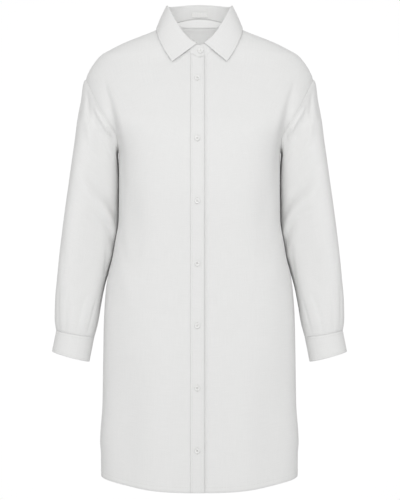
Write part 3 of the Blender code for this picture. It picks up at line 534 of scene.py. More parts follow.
def body_point(x, z, side):
    """The body's outer surface at a place seen from the front; side is FRONT or BACK."""
    x, z = np.broadcast_arrays(np.asarray(x, float), np.asarray(z, float))
    half = SECTION["half_width"](z)
    depth = SECTION["front_depth" if side == FRONT else "back_depth"](z)
    share = np.clip(np.abs(x) / half, 0, 1)
    off = np.abs(x) - DIP["across"](z)
    off /= np.where(off < 0, DIP_WIDTH_IN, DIP_WIDTH_OUT)
    dip = DIP["share_of_depth"](z) * np.exp(-(off**2))
    y = side * depth * roundness(share, section_power(z)) * (1 - dip)
    turn = np.arcsin(share)
    turn = np.where(side == FRONT, turn, math.pi - turn) * np.where(x < 0, -1, 1)
    pull = fold_depth(BODY_FOLDS + BODY_CREASES, BODY_RADIUS, turn, z)
    out_x, out_y = share * np.sign(x), side * np.sqrt(1 - share**2)
    return np.stack([x - pull * out_x, MIDDLE_Y + y - pull * out_y, z], axis=-1)


def hem_height(x):
    return mix(HEM_FRONT_Z, HEM_SIDE_Z, (np.abs(x) / SECTION["half_width"](HEM_SIDE_Z)) ** HEM_POWER)


def neck_height(share, side):
    """Height of the neckline at a share of its half width."""
    if side == FRONT:
        return mix(NECK_FRONT_Z, NECK_SIDE_Z, np.abs(share) ** NECK_POWER)
    return mix(NECK_BACK_Z, NECK_SIDE_Z, share**2)


def shoulder_seam(count):
    """Points (x, z) evenly along the shoulder seam, from the neck to the tip."""
    z = np.linspace(NECK_SIDE_Z, SHOULDER_TIP_Z, SEAM_SAMPLES)
    x = SECTION["half_width"](z)
    run = run_along(np.stack([x, z], axis=-1))
    at = np.linspace(0, run[-1], count + 1)[1:]
    return np.stack([np.interp(at, run, x), np.interp(at, run, z)], axis=-1)


def armhole(share):
    """Points (x, z) of an armhole's front or back half, from the underarm at 0 to the tip at 1."""
    turn = math.pi * share
    z = mix(UNDERARM_Z, SHOULDER_TIP_Z, (1 - np.cos(turn)) / 2)
    deep = ARMHOLE_DEPTH * np.sin(turn)
    x = SECTION["half_width"](z) * (1 - deep**SECTION_POWER) ** (1 / SECTION_POWER)
    return np.stack([x, z], axis=-1)


def half_panel(side, middle_x, neck_columns, scale):
    """Half of a body panel, from x = middle_x to the side, as places (x, z) in rows from hem to shoulder."""
    start_turn = math.asin(middle_x / NECK_HALF_WIDTH)
    turns = np.linspace(start_turn, math.pi / 2, neck_columns + 1)
    neck_x = NECK_HALF_WIDTH * np.sin(turns)
    neck = np.stack([neck_x, neck_height(neck_x / NECK_HALF_WIDTH, side)], axis=-1)
    top = np.concatenate([neck, shoulder_seam(SHOULDER_COLUMNS * scale)])
    count = len(top)
    half = SECTION["half_width"](HEM_SIDE_Z)
    angles = np.linspace(math.asin(middle_x / half), math.pi / 2, count)
    across = (np.sin(angles) - np.sin(angles[0])) / (1 - np.sin(angles[0]))
    bottom_x = mix(middle_x, half, across)
    bottom = np.stack([bottom_x, hem_height(bottom_x)], axis=-1)
    low = np.linspace(0, 1, BODY_ROWS_LOW * scale + 1)[:-1]
    high = 1 - (1 - np.linspace(0, 1, BODY_ROWS_HIGH * scale + 1)) ** HIGH_ROW_BIAS
    side_z = mix(HEM_SIDE_Z, UNDERARM_Z, low)
    right = np.concatenate([np.stack([SECTION["half_width"](side_z), side_z], axis=-1), armhole(high)])
    middle_z = np.concatenate([mix(bottom[0, 1], UNDERARM_Z, low), mix(UNDERARM_Z, top[0, 1], high)])
    left = np.stack([np.full(len(middle_z), middle_x), middle_z], axis=-1)
    places = mix(left[:, None], right[:, None], across[None, :, None])
    straight_top = mix(top[0], top[-1], across[:, None])
    straight_bottom = mix(bottom[0], bottom[-1], across[:, None])
    near_top = smooth_step((middle_z - TOP_REACH_Z) / (top[0, 1] - TOP_REACH_Z))
    near_bottom = smooth_step((HEM_REACH_Z - middle_z) / (HEM_REACH_Z - bottom[0, 1]))
    places += near_top[:, None, None] * (top - straight_top)[None]
    places += near_bottom[:, None, None] * (bottom - straight_bottom)[None]
    return places


def strip(places, xs, side):
    """Columns at fixed x beside a panel's first column, whose rows they carry on level."""
    first = places[:, 0]
    share = (first[:, 1] - first[0, 1]) / (first[-1, 1] - first[0, 1])
    columns = []
    for x in xs:
        z = mix(hem_height(x), neck_height(x / NECK_HALF_WIDTH, side), share)
        columns.append(np.stack([np.full(len(z), x), z], axis=-1))
    return np.concatenate([np.stack(columns, axis=1), places], axis=1)


def grid_normals(points, closed_around=False):
    """Unit normals of a grid of points in rows and columns."""
    along = np.gradient(points, axis=0)
    if closed_around:
        across = np.roll(points, -1, axis=1) - np.roll(points, 1, axis=1)
    else:
        across = np.gradient(points, axis=1)
    normals = np.cross(across, along)
    return normals / np.linalg.norm(normals, axis=2, keepdims=True)


def turned_to(normals, row, column, side):
    """The normals, all turned over where the one at a row and column faces away from the side."""
    return normals if normals[row, column, 1] * side > 0 else -normals


def outward_normals(grid, closed_around=False):
    """Unit normals of a grid round a tube, away from its middle."""
    normals = grid_normals(grid, closed_around)
    outward = grid - grid.mean(axis=1, keepdims=True)
    return normals if (normals * outward).sum() > 0 else -normals


def level_seam(outer, normals, side, rows, columns):
    """Turns the normals along a seam level, so that two walls meet square, and draws the panel back."""
    normals[rows, columns, 1] = 0
    normals[rows, columns] = unit(normals[rows, columns])
    outer[rows, columns, 1] = MIDDLE_Y + side * SEAM_GAP / 2


def finish_seams(outer, normals, side, underarm_row, first_shoulder):
    """Finishes the side seam in the last column and the shoulder seam in the last row."""
    level_seam(outer, normals, side, slice(0, underarm_row + 1), -1)
    level_seam(outer, normals, side, -1, slice(first_shoulder, None))


def underlap_step(x):
    """How far the left front and the left end of the stand lie under the right ones."""
    return LAP_STEP * smooth_step((UNDERLAP_FLAT_X - x) / (UNDERLAP_FLAT_X - UNDERLAP_STEP_X))


def front_grid(mirrored, xs, middle_x, scale):
    """Outer points and normals of one front, from its lapped edge to its side."""
    places = strip(half_panel(FRONT, middle_x, NECK_COLUMNS_FRONT * scale, scale), xs, FRONT)
    outer = body_point((-1 if mirrored else 1) * places[..., 0], places[..., 1], FRONT)
    normals = turned_to(grid_normals(outer), len(outer) // 2, len(xs) // 2, FRONT)
    finish_seams(outer, normals, FRONT, BODY_ROWS_LOW * scale, len(xs) + NECK_COLUMNS_FRONT * scale)
    return outer, normals


def front_right_grid(scale):
    xs = np.linspace(-PLACKET_LEFT_X, -PLACKET_RIGHT_X, STRIP_COLUMNS + 1)[:-1]
    return front_grid(True, xs, -PLACKET_RIGHT_X, scale)


def front_left_grid(scale):
    xs = np.linspace(UNDERLAP_X, UNDERLAP_FLAT_X, STRIP_COLUMNS + 1)[:-1]
    outer, normals = front_grid(False, xs, UNDERLAP_FLAT_X, scale)
    outer[..., 1] += underlap_step(outer[..., 0])
    return outer, normals


def back_grid(scale):
    places = half_panel(BACK, 0.0, NECK_COLUMNS_BACK * scale, scale)
    left = body_point(places[..., 0], places[..., 1], BACK)
    right = body_point(-places[..., 0], places[..., 1], BACK)
    outer = np.concatenate([right[:, :0:-1], left], axis=1)
    vent = smooth_step((VENT_TOP_Z - outer[..., 2]) / VENT_RUN) * VENT_PULL
    middle = outer.shape[1] // 2
    normals = turned_to(grid_normals(outer), len(outer) // 2, middle, BACK)
    underarm = BODY_ROWS_LOW * scale
    for way in (slice(None), slice(None, None, -1)):
        finish_seams(outer[:, way], normals[:, way], BACK, underarm, middle + NECK_COLUMNS_BACK * scale)
    for column, sign in ((0, 1), (-1, -1)):
        outer[:underarm, column, 0] += sign * vent[:underarm, column]
        outer[:underarm, column, 1] += vent[:underarm, column]
    return outer, normals


def neckline(turn):
    """A point of the neckline at a turn from the centre back (0) to the wearer's left (positive)."""
    side = BACK if abs(turn) < math.pi / 2 else FRONT
    x = NECK_HALF_WIDTH * math.sin(turn)
    z = neck_height(np.asarray(abs(math.sin(turn))), side)
    return body_point(x, z, side)


def stand_top(turn):
    """A point of the outer side of the stand's top edge."""
    share = abs(math.sin(turn))
    x = STAND_TOP_HALF_WIDTH * math.sin(turn)
    if abs(turn) < math.pi / 2:
        y = MIDDLE_Y + STAND_TOP_BACK_DEPTH * float(roundness(share))
        z = mix(FOLD_BACK_Z, FOLD_SIDE_Z, share**2)
    else:
        y = MIDDLE_Y - STAND_TOP_FRONT_DEPTH * float(roundness(share))
        z = mix(FOLD_FRONT_Z, FOLD_SIDE_Z, share**FOLD_POWER)
    return np.array([x, y, z - 2 * ROLL_RADIUS - WALL])


def turn_at(x):
    """The turn at which the neckline in front reaches x."""
    turn = math.pi - math.asin(abs(x) / NECK_HALF_WIDTH)
    return turn if x >= 0 else -turn


def lapped_neckline(x, columns):
    """A point of the neckline on the straight run between two of a front's own columns."""
    points = np.array([neckline(turn_at(c)) for c in columns])
    return np.array([x, np.interp(x, columns, points[:, 1]), np.interp(x, columns, points[:, 2])])


def stand_grid(rows, finer):
    """Outer points and normals of the stand: from its lower end, under the right one, round the back."""
    full = 2 * math.pi
    turns = [turn_at(x) + (full if x < 0 else 0) for x in STAND_UNDER_COLUMNS]
    turns += [k * NECK_STEP for k in range(STAND_STEPS, -STAND_STEPS - 1, -1)]
    turns += [turn_at(x) - (full if x > 0 else 0) for x in STAND_OVER_COLUMNS]
    turns = np.interp(np.linspace(0, len(turns) - 1, (len(turns) - 1) * finer + 1), range(len(turns)), turns)
    level = np.linspace(0, 1, rows + 1)[:, None]
    outer = np.zeros((rows + 1, len(turns), 3))
    for j, turn in enumerate(turns):
        lower_end = turn > turn_at(UNDERLAP_FLAT_X) - TURN_SLACK
        inside = (turn + math.pi) % full - math.pi
        bottom, top = neckline(inside), stand_top(inside)
        if abs(inside) >= turn_at(UNDERLAP_FLAT_X) - TURN_SLACK:
            bottom = lapped_neckline(bottom[0], UNDER_SEAM if lower_end else OVER_SEAM)
        end = min(abs(turn - turns[0]), abs(turn - turns[-1])) * NECK_HALF_WIDTH
        if end < STAND_END_ROUND:
            short = 1 - math.sqrt(1 - (1 - end / STAND_END_ROUND) ** 2)
            top = mix(top, bottom, STAND_END_DROP * short)
        outer[:, j] = mix(bottom, top, level)
        outer[:, j, 2] += SEAM_GAP * (1 - level[:, 0])
        if lower_end:
            outer[:, j, 1] += underlap_step(outer[0, j, 0])
    return outer, turned_to(grid_normals(outer), 0, len(turns) // 2, BACK)


def fall_section(turn, share, roll_rows, flat_rows, sign):
    """Under side of the fall across one section, from the stand's top edge over the roll to the free edge."""
    base = stand_top(turn)
    along = unit(stand_top(turn + TURN_BESIDE) - stand_top(turn - TURN_BESIDE))
    if sign > 0 and abs(turn) > math.pi / 2:
        base[1] += underlap_step(base[0])
    up = unit(np.array([0, 0, 1.0]) - along * along[2])
    out = np.cross(along, up)
    if np.dot(out, base - np.array([0.0, MIDDLE_Y, base[2]])) < 0:
        out = -out
    start = base + up * SEAM_GAP
    points = [start]
    for angle in np.linspace(0, ROLL_TURN, roll_rows + 1)[1:]:
        rise = ROLL_RADIUS * math.sin(angle) + ROLL_LIFT
        points.append(start + up * rise + out * ROLL_RADIUS * (1 - math.cos(angle)))
    edge = np.array([sign * EDGE["across"](share), EDGE["back_to_front"](share), EDGE["height"](share)])
    last = points[-1]
    for part in np.linspace(0, 1, flat_rows + 1)[1:]:
        points.append(mix(last, edge, part) + out * FALL_BULGE * math.sin(math.pi * part))
    return points


def fall_grid(columns, roll_rows, flat_rows):
    """Under side points and normals of the collar fall, from the right point round the back to the left."""
    halves = []
    for sign, end_x in ((-1, FALL_END_RIGHT_X), (1, FALL_END_LEFT_X)):
        left_out = math.pi - abs(turn_at(abs(end_x)))
        half = []
        for share in np.linspace(0, 1, columns + 1):
            drawn_back = smooth_step((share - FALL_TURN_FROM) / (1 - FALL_TURN_FROM))
            turn = math.pi * share - left_out * drawn_back
            half.append(fall_section(sign * turn, share, roll_rows, flat_rows, sign))
        halves.append(np.array(half))
    under = np.swapaxes(np.concatenate([halves[0][:0:-1], halves[1]]), 0, 1)
    return under, turned_to(grid_normals(under), -1, columns, FRONT)


def ring_frame(share):
    """Middle, half-width vector, half depth of the sleeve at a share of the arm."""
    outer = np.array([RING["outer_x"](share), RING["outer_y"](share), RING["outer_z"](share)])
    inner = np.array([RING["inner_x"](share), RING["inner_y"](share), RING["inner_z"](share)])
    return (outer + inner) / 2, (outer - inner) / 2, float(RING["half_depth"](share))


def sleeve_ring(share, turns):
    """A ring of the sleeve without its folds, and its middle; squarer by the body, round at the cuff."""
    middle, half, depth = ring_frame(share)
    round_again = smooth_step((share - SLEEVE_ROUND_FROM) / (1 - SLEEVE_ROUND_FROM))
    squareness = np.where(np.cos(turns) < 0, SLEEVE_INNER_POWER, SLEEVE_OUTER_POWER)
    power = 2 / mix(squareness, 2.0, round_again)
    across = np.sign(np.cos(turns)) * np.abs(np.cos(turns)) ** power
    ring = middle + across[:, None] * half
    ring[:, 1] -= np.sign(np.sin(turns)) * np.abs(np.sin(turns)) ** power * depth
    return ring, middle


def beside_body(points):
    """Points of the left sleeve, moved out to just beside the body where they would reach into it."""
    z = points[:, 2]
    off = points[:, 1] - MIDDLE_Y
    depth = np.where(off < 0, SECTION["front_depth"](z), SECTION["back_depth"](z))
    side = SECTION["half_width"](z) * roundness(np.clip(np.abs(off) / depth, 0, 1), section_power(z))
    short = np.clip(side + BODY_CLEAR - points[:, 0], 0, None)
    reach = smooth_step((BESIDE_FROM_Z - z) / (BESIDE_FROM_Z - BESIDE_TO_Z))
    points[:, 0] += short * reach
    return points


def sleeve_grid(rings, sides, mirrored):
    """Outer points and normals of a sleeve: rings down the arm, each from the outer line to the front."""
    creases = SLEEVE_CREASES + (RIGHT_CREASES if mirrored else LEFT_CREASES)
    turns = turns_round(sides)
    side = np.where(turns <= math.pi, FRONT, BACK)
    around = np.where(turns <= math.pi, 1 - turns / math.pi, turns / math.pi - 1)
    signed = np.where(turns > math.pi, turns - 2 * math.pi, turns)
    first = np.array([body_point(p[0], p[1], s) for p, s in zip(armhole(around), side)])
    first += (HEAD_OUT, 0.0, -HEAD_DOWN)
    left_over = first - sleeve_ring(0.0, turns)[0]
    grid = np.zeros((rings + 1, sides, 3))
    for i, share in enumerate(np.linspace(0, 1, rings + 1) ** RING_BIAS):
        ring, middle = sleeve_ring(share, turns)
        along = np.full(sides, share * ARM_LENGTH)
        pull = fold_depth(SLEEVE_FOLDS, ARM_RADIUS, signed, along)
        keep = 1 - smooth_step(share / HEAD_SHARE)
        crease = fold_depth(creases, ARM_RADIUS, signed, along) * smooth_step(share / CREASE_START)
        grid[i] = ring + left_over * keep - unit(ring - middle) * (pull * (1 - keep) + crease)[:, None]
        ledge = smooth_step(share / LEDGE_START) * (1 - smooth_step(share / LEDGE_END))
        grid[i, :, 0] += HEAD_STEP * ledge * np.clip(np.cos(turns), 0, 1) ** 2
        grid[i] = beside_body(grid[i])
    if mirrored:
        grid[..., 0] *= -1
    return grid, outward_normals(grid, closed_around=True)


def cuff_grid(columns, rows, mirrored):
    """Outer points and normals of a cuff, a band whose ends lap at the back of the wrist."""
    top_middle, top_half, top_depth = ring_frame(1.0)
    outer, inner = np.array(CUFF_BOTTOM_OUTER), np.array(CUFF_BOTTOM_INNER)
    low_middle, low_half = (outer + inner) / 2, (outer - inner) / 2
    top_middle = top_middle + unit(low_middle - top_middle) * CUFF_GAP
    turns = np.linspace(CUFF_LAP_TURN - 2 * math.pi, CUFF_LAP_TURN + CUFF_LAP, columns + 1)
    step = CUFF_LAP_STEP * smooth_step((turns - CUFF_LAP_TURN + CUFF_STEP_BEFORE) / CUFF_STEP_RUN)
    grid = np.zeros((rows + 1, columns + 1, 3))
    for i, share in enumerate(np.linspace(0, 1, rows + 1)):
        spoke = np.cos(turns)[:, None] * mix(top_half, low_half, share)
        spoke[:, 1] -= np.sin(turns) * mix(top_depth, CUFF_HALF_DEPTH, share)
        grid[i] = mix(top_middle, low_middle, share) + spoke + unit(spoke) * step[:, None]
    if mirrored:
        grid[..., 0] *= -1
    return grid, outward_normals(grid)


def fine_placket(outer, normals):
    """Face and back of the placket, from the right front's first columns moved out."""
    rows, out = outer[:, : STRIP_COLUMNS + 1], normals[:, : STRIP_COLUMNS + 1]
    return rows + out * (LAY_GAP + WALL), rows + out * LAY_GAP


def fine_facing(outer, normals, rows):
    """Face and back of the neck facing, from the back's points round the neck moved in."""
    middle = outer.shape[1] // 2
    reach = (NECK_COLUMNS_BACK - 1) * FINE_BACK
    inside = outer - normals * WALL
    face, out = [], []
    for j in range(middle - reach, middle + reach + 1):
        heights = inside[:, j, 2]
        top = heights[-1] - FACING_SHORT
        levels = np.linspace(min(FACING_EDGE_Z, top - FACING_LEAST), top, rows)
        face.append(point_at(levels, heights, inside[:, j]))
        out.append(point_at(levels, heights, normals[:, j]))
    face, out = np.stack(face, axis=1), unit(np.stack(out, axis=1))
    return face - out * LAY_GAP * 2, face - out * (LAY_GAP * 2 + THIN)


def fine_label(columns, rows):
    """Face and back of the label, on the inner side of the stand at the centre back."""
    half_turn = math.asin(LABEL_HALF_WIDTH / NECK_HALF_WIDTH)
    heights = np.linspace(LABEL_BOTTOM_Z, LABEL_TOP_Z, rows)[:, None]
    grid = []
    for turn in np.linspace(-half_turn, half_turn, columns):
        bottom, top = neckline(turn), stand_top(turn)
        grid.append(mix(bottom, top, (heights - bottom[2]) / (top[2] - bottom[2])))
    grid = np.stack(grid, axis=1)
    normals = turned_to(grid_normals(grid), 0, columns // 2, BACK)
    face = grid - normals * (WALL + LAY_GAP * 2)
    return face, face - normals * LABEL_WALL


def mesh_object(name, vertices, faces, look, uvs=None):
    """A smooth-shaded mesh; uvs has one pair for each corner of each face, in metres of cloth."""
    corners = np.array([i for face in faces for i in face])
    counts = np.array([len(face) for face in faces])
    mesh = bpy.data.meshes.new(name)
    mesh.vertices.add(len(vertices))
    mesh.vertices.foreach_set("co", np.asarray(vertices, np.float32).ravel())
    mesh.loops.add(len(corners))
    mesh.loops.foreach_set("vertex_index", corners.astype(np.int32))
    mesh.polygons.add(len(counts))
    mesh.polygons.foreach_set("loop_start", (np.cumsum(counts) - counts).astype(np.int32))
    if uvs is not None:
        layer = mesh.uv_layers.new(name="cloth")
        layer.uv.foreach_set("vector", np.asarray(uvs, np.float32).ravel())
    mesh.materials.append(look)
    mesh.update()
    mesh.validate()
    mesh.shade_smooth()
    made = bpy.data.objects.new(name, mesh)
    bpy.context.collection.objects.link(made)
    return made


def cell_corners(grid):
    """The four corners of each cell of a grid, in order round the cell."""
    return np.stack([grid[:-1, :-1], grid[:-1, 1:], grid[1:, 1:], grid[1:, :-1]], axis=2)


def cloth_lengths(points, closed_around):
    """Lengths (across, along) of cloth at each grid point, for the weave."""
    if closed_around:
        points = closed(points)
    across = np.linalg.norm(np.diff(points, axis=1), axis=2).mean(axis=0)
    along = np.linalg.norm(np.diff(points, axis=0), axis=2).mean(axis=1)
    u, v = (np.concatenate([[0], np.cumsum(steps)]) for steps in (across, along))
    return np.stack(np.meshgrid(u, v), axis=-1)


def shell(name, outer, inner, look, closed_around=False):
    """A thin wall between two grids, with rounded edges."""
    rows, columns = outer.shape[:2]
    count = rows * columns
    index = np.arange(count).reshape(rows, columns)
    lengths = cloth_lengths(outer, closed_around)
    if closed_around:
        index = closed(index)
        rims = [index[0, :-1], index[-1, ::-1][1:]]
    else:
        rims = [np.concatenate([index[0, :-1], index[:-1, -1], index[-1, :0:-1], index[:0:-1, 0]])]
    front = cell_corners(index).reshape(-1, 4)
    uv = cell_corners(lengths).reshape(-1, 4, 2)
    vertices = [outer.reshape(-1, 3), inner.reshape(-1, 3)]
    faces = [front, front[:, ::-1] + count]
    uvs = [uv, uv[:, ::-1]]
    at = 2 * count
    for rim in rims:
        i, j = np.divmod(rim, columns)
        near = outer[np.clip(i, 1, rows - 2), j if closed_around else np.clip(j, 1, columns - 2)]
        edge_out, edge_in = outer[i, j], inner[i, j]
        thick = np.linalg.norm(edge_out - edge_in, axis=1, keepdims=True)
        vertices.append((edge_out + edge_in) / 2 + unit(edge_out - near) * thick * RIM_BULGE)
        own = at + np.arange(len(rim))
        at += len(rim)
        after, rim_after = np.roll(own, -1), np.roll(rim, -1)
        faces.append(np.stack([rim_after, rim, own, after], axis=-1))
        faces.append(np.stack([after, own, rim + count, rim_after + count], axis=-1))
        edge_uv = lengths[i, j]
        uv_after = np.roll(edge_uv, -1, 0)
        uvs += [np.stack([uv_after, edge_uv, edge_uv, uv_after], axis=1)] * 2
    faces, uvs = np.concatenate(faces), np.concatenate(uvs)
    start = outer[0, 0]
    if np.dot(np.cross(outer[0, 1] - start, outer[1, 0] - start), start - inner[0, 0]) < 0:
        faces, uvs = faces[:, ::-1], uvs[:, ::-1]
    return mesh_object(name, np.concatenate(vertices), faces.tolist(), look, uvs)


def ring_points(middle, side, up, radius, sides):
    """Points of a circle round middle, in the plane of side and up."""
    return [middle + (side * math.cos(turn) + up * math.sin(turn)) * radius for turn in turns_round(sides)]


def ring_faces(base, rings, sides, turned=False):
    """Faces between rings of vertices that start at base, with a cap on the first and the last ring."""
    faces = []
    for low in range(base, base + (rings - 1) * sides, sides):
        for k in range(sides):
            after = (k + 1) % sides
            face = (low + k, low + after, low + sides + after, low + sides + k)
            faces.append((face[0], *face[:0:-1]) if turned else face)
    last = base + (rings - 1) * sides
    first_cap, last_cap = tuple(range(base, base + sides)), tuple(range(last, last + sides))
    return faces + ([first_cap, last_cap[::-1]] if turned else [first_cap[::-1], last_cap])


def stitch_row(points, normals, closed_around=False):
    """Stitches along a line on the cloth, as (start, end, out) for each."""
    if closed_around:
        points = np.concatenate([points, points[:1]])
        normals = np.concatenate([normals, normals[:1]])
    run = run_along(points)
    count = int(run[-1] / STITCH_PITCH)
    found = []
    for k in range(count):
        at = (k + 0.5) * run[-1] / count + np.array([-0.5, 0.5]) * STITCH_LENGTH
        start, end = point_at(at, run, points)
        found.append((start, end, unit(point_at(at.mean(), run, normals))))
    return found


def stitching(name, stitches, look):
    """One mesh of small capsule stitches."""
    vertices, faces = [], []
    for start, end, out in stitches:
        side = unit(np.cross(end - start, out))
        faces += ring_faces(len(vertices), len(STITCH_RINGS), STITCH_SIDES, turned=True)
        for share, size in STITCH_RINGS:
            sunk = STITCH_SUNK + STITCH_RADIUS * STITCH_DIVE * (2 * share - 1) ** 2
            middle = mix(start, end, share) + out * (STITCH_RADIUS - sunk)
            vertices += ring_points(middle, side, out, STITCH_RADIUS * size, STITCH_SIDES)
    return mesh_object(name, np.array(vertices), faces, look)


def line_at(grid, normals, distance, edge):
    """A line at a distance in from the bottom, top, left or right edge of a grid, and its normals."""
    if edge in ("left", "right"):
        grid, normals = np.swapaxes(grid, 0, 1), np.swapaxes(normals, 0, 1)
    if edge in ("top", "right"):
        grid, normals = grid[::-1], normals[::-1]
    points, out = [], []
    for j in range(grid.shape[1]):
        run = run_along(grid[:, j])
        points.append(point_at(distance, run, grid[:, j]))
        out.append(point_at(distance, run, normals[:, j]))
    return np.array(points), unit(np.array(out))


def cut_ends(line, normals, distance):
    """The line without a stretch at each end."""
    run = run_along(line)
    keep = (run > distance) & (run < run[-1] - distance)
    return line[keep], normals[keep]


def build_button(name, centre, out, look):
    """A dished round button with four holes, on the cloth at centre, and the runs of its thread."""
    side = unit(np.cross([0.0, 0.0, 1.0], out))
    up = np.cross(out, side)
    vertices = []
    for share, height in BUTTON_SHAPE:
        vertices += ring_points(centre + out * height, side, up, share * BUTTON_RADIUS, BUTTON_ROUND)
    button = mesh_object(name, np.array(vertices), ring_faces(0, len(BUTTON_SHAPE), BUTTON_ROUND), look)
    off = BUTTON_HOLE_OFF / math.sqrt(2)
    holes = [centre + (side * across + up * rise) * off for across, rise in BUTTON_HOLES]
    vertices, faces = [], []
    for hole in holes:
        faces += ring_faces(len(vertices), len(DRILL_ENDS), DRILL_SIDES)
        for height in DRILL_ENDS:
            vertices += ring_points(hole + out * height, side, up, BUTTON_HOLE_RADIUS, DRILL_SIDES)
    drill = mesh_object(name + "_drill", np.array(vertices), faces, look)
    cut = button.modifiers.new("holes", "BOOLEAN")
    cut.operation = "DIFFERENCE"
    cut.solver = "EXACT"
    cut.object = drill
    graph = bpy.context.evaluated_depsgraph_get()
    done = bpy.data.meshes.new_from_object(button.evaluated_get(graph))
    button.modifiers.clear()
    button.data = done
    bpy.data.objects.remove(drill)
    done.shade_smooth()
    done.set_sharp_from_angle(angle=BUTTON_SHARP_ANGLE)
    lift = out * THREAD_HEIGHT
    return button, [(holes[a] + lift, holes[a + 2] + lift, out) for a in (0, 1)]


def thread_mesh(name, runs, look):
    """Thread that crosses each button between its holes."""
    vertices, faces = [], []
    for start, end, out in runs:
        side = unit(np.cross(end - start, out))
        for shift in (-THREAD_APART, THREAD_APART):
            faces += ring_faces(len(vertices), THREAD_RINGS, THREAD_SIDES, turned=True)
            for share in np.linspace(0, 1, THREAD_RINGS):
                off = abs(2 * share - 1)
                rise = THREAD_RISE * (1 - off**2) - THREAD_DIVE * off**THREAD_DIVE_POWER
                middle = mix(start, end, share) + side * shift + out * rise
                vertices += ring_points(middle, side, out, THREAD_RADIUS, THREAD_SIDES)
    return mesh_object(name, np.array(vertices), faces, look)


def buttonhole(centre, out, along):
    """Vertices and faces of one worked buttonhole: a long flat ring of close stitches."""
    side = unit(np.cross(along, out))
    straight = (HOLE_LENGTH - HOLE_WIDTH) / 2
    band = HOLE_WIDTH * HOLE_BAND
    size = len(HOLE_PROFILE)
    vertices, faces = [], []
    for k, turn in enumerate(turns_round(HOLE_STITCHES)):
        ridge = 1 + HOLE_RIDGE * (1 if k % 2 else -1)
        rise = math.sin(turn)
        shift = math.copysign(straight, rise) * min(1, abs(rise) * HOLE_END_TURN)
        for share, height in HOLE_PROFILE:
            radius = (HOLE_WIDTH - band) / 2 + share * band
            place = side * math.cos(turn) * radius + along * (shift + rise * radius)
            vertices.append(centre + place + out * (height * HOLE_LIFT * ridge))
        here, after = k * size, (k + 1) % HOLE_STITCHES * size
        for i in range(size):
            beside = (i + 1) % size
            faces.append((here + i, here + beside, after + beside, after + i))
    return vertices, faces


def fill_inputs(tree, node, inputs):
    """Gives each input of a node its value, or a link from the socket that is given for it."""
    for key, value in inputs.items():
        if isinstance(value, bpy.types.NodeSocket):
            tree.links.new(value, node.inputs[key])
        else:
            node.inputs[key].default_value = value


def add_node(tree, kind, inputs):
    node = tree.nodes.new("ShaderNode" + kind)
    fill_inputs(tree, node, inputs)
    return node


def math_node(tree, operation, *values):
    """The result of an operation on values or sockets."""
    node = tree.nodes.new("ShaderNodeMath")
    node.operation = operation
    fill_inputs(tree, node, dict(enumerate(values)))
    return node.outputs["Value"]


def node_material(name):
    made = bpy.data.materials.new(name)
    made.use_nodes = True
    return made, made.node_tree, made.node_tree.nodes["Principled BSDF"]


def cloth_material(name, light, dark, thread_pitch, slub, through):
    """Plain woven cloth: warp and weft, thick and thin threads, a matt face and a little light through it."""
    made, tree, shader = node_material(name)
    place = tree.nodes.new("ShaderNodeUVMap")
    place.uv_map = "cloth"
    uv = place.outputs["UV"]
    threads, slubs = [], []
    for direction, stretch in (("X", SLUBS_ALONG), ("Y", SLUBS_ACROSS)):
        count = math.pi / (10 * thread_pitch)
        wave = add_node(tree, "TexWave", {"Vector": uv, "Scale": count, "Distortion": 0.6, "Detail": 1.0})
        wave.bands_direction = direction
        threads.append(wave.outputs["Fac"])
        stretched = add_node(tree, "Mapping", {"Vector": uv, "Scale": stretch}).outputs["Vector"]
        noise = add_node(tree, "TexNoise", {"Vector": stretched, "Scale": 1.0, "Detail": 2.0})
        slubs.append(noise.outputs["Fac"])
    weave = math_node(tree, "MULTIPLY", *threads)
    uneven = math_node(tree, "ADD", *slubs)
    height = math_node(tree, "MULTIPLY_ADD", uneven, slub, weave)
    bump = add_node(tree, "Bump", {"Strength": 0.35, "Distance": 0.00012, "Height": height})
    shade = add_node(tree, "MapRange", {"From Min": 0.7, "From Max": 1.3, "Value": uneven})
    rough = add_node(tree, "MapRange", {"To Min": 0.92, "To Max": 0.78, "Value": weave})
    tint = tree.nodes.new("ShaderNodeMix")
    tint.data_type = "RGBA"
    colours = {"A": (*dark, 1.0), "B": (*light, 1.0)}
    fill_inputs(tree, tint, {"Factor": shade.outputs["Result"], **colours})
    fill_inputs(tree, shader, {
        "Base Color": tint.outputs["Result"],
        "Normal": bump.outputs["Normal"],
        "Roughness": rough.outputs["Result"],
        "Specular IOR Level": 0.25,
        "Sheen Weight": 0.08,
        "Sheen Roughness": 0.5,
    })
    glow = add_node(tree, "BsdfTranslucent", {"Color": tint.outputs["Result"]})
    faces = {1: shader.outputs["BSDF"], 2: glow.outputs["BSDF"]}
    blend = add_node(tree, "MixShader", {"Fac": through, **faces})
    fill_inputs(tree, tree.nodes["Material Output"], {"Surface": blend.outputs["Shader"]})
    return made


def clouded_material(name, grain, dark, light, span=(0.0, 1.0)):
    """A material with clouds of two greys, and its tree, its shader and the noise that clouds it."""
    made, tree, shader = node_material(name)
    place = tree.nodes.new("ShaderNodeTexCoord")
    noise = add_node(tree, "TexNoise", {"Vector": place.outputs["Object"], **grain}).outputs["Fac"]
    ramp = add_node(tree, "ValToRGB", {"Fac": noise})
    for element, position, colour in zip(ramp.color_ramp.elements, span, (dark, light)):
        element.position = position
        element.color = (*colour, 1.0)
    fill_inputs(tree, shader, {"Base Color": ramp.outputs["Color"]})
    return made, tree, shader, noise


def shell_button_material():
    """White shell with faint grey clouds and a soft gloss."""
    grain = {"Scale": 260.0, "Detail": 4.0}
    made, tree, shader, noise = clouded_material("white shell button", grain, *SHELL_GREYS, SHELL_SPAN)
    rough = add_node(tree, "MapRange", {"To Min": 0.30, "To Max": 0.50, "Value": noise})
    fill_inputs(tree, shader, {"Roughness": rough.outputs["Result"]})
    return made


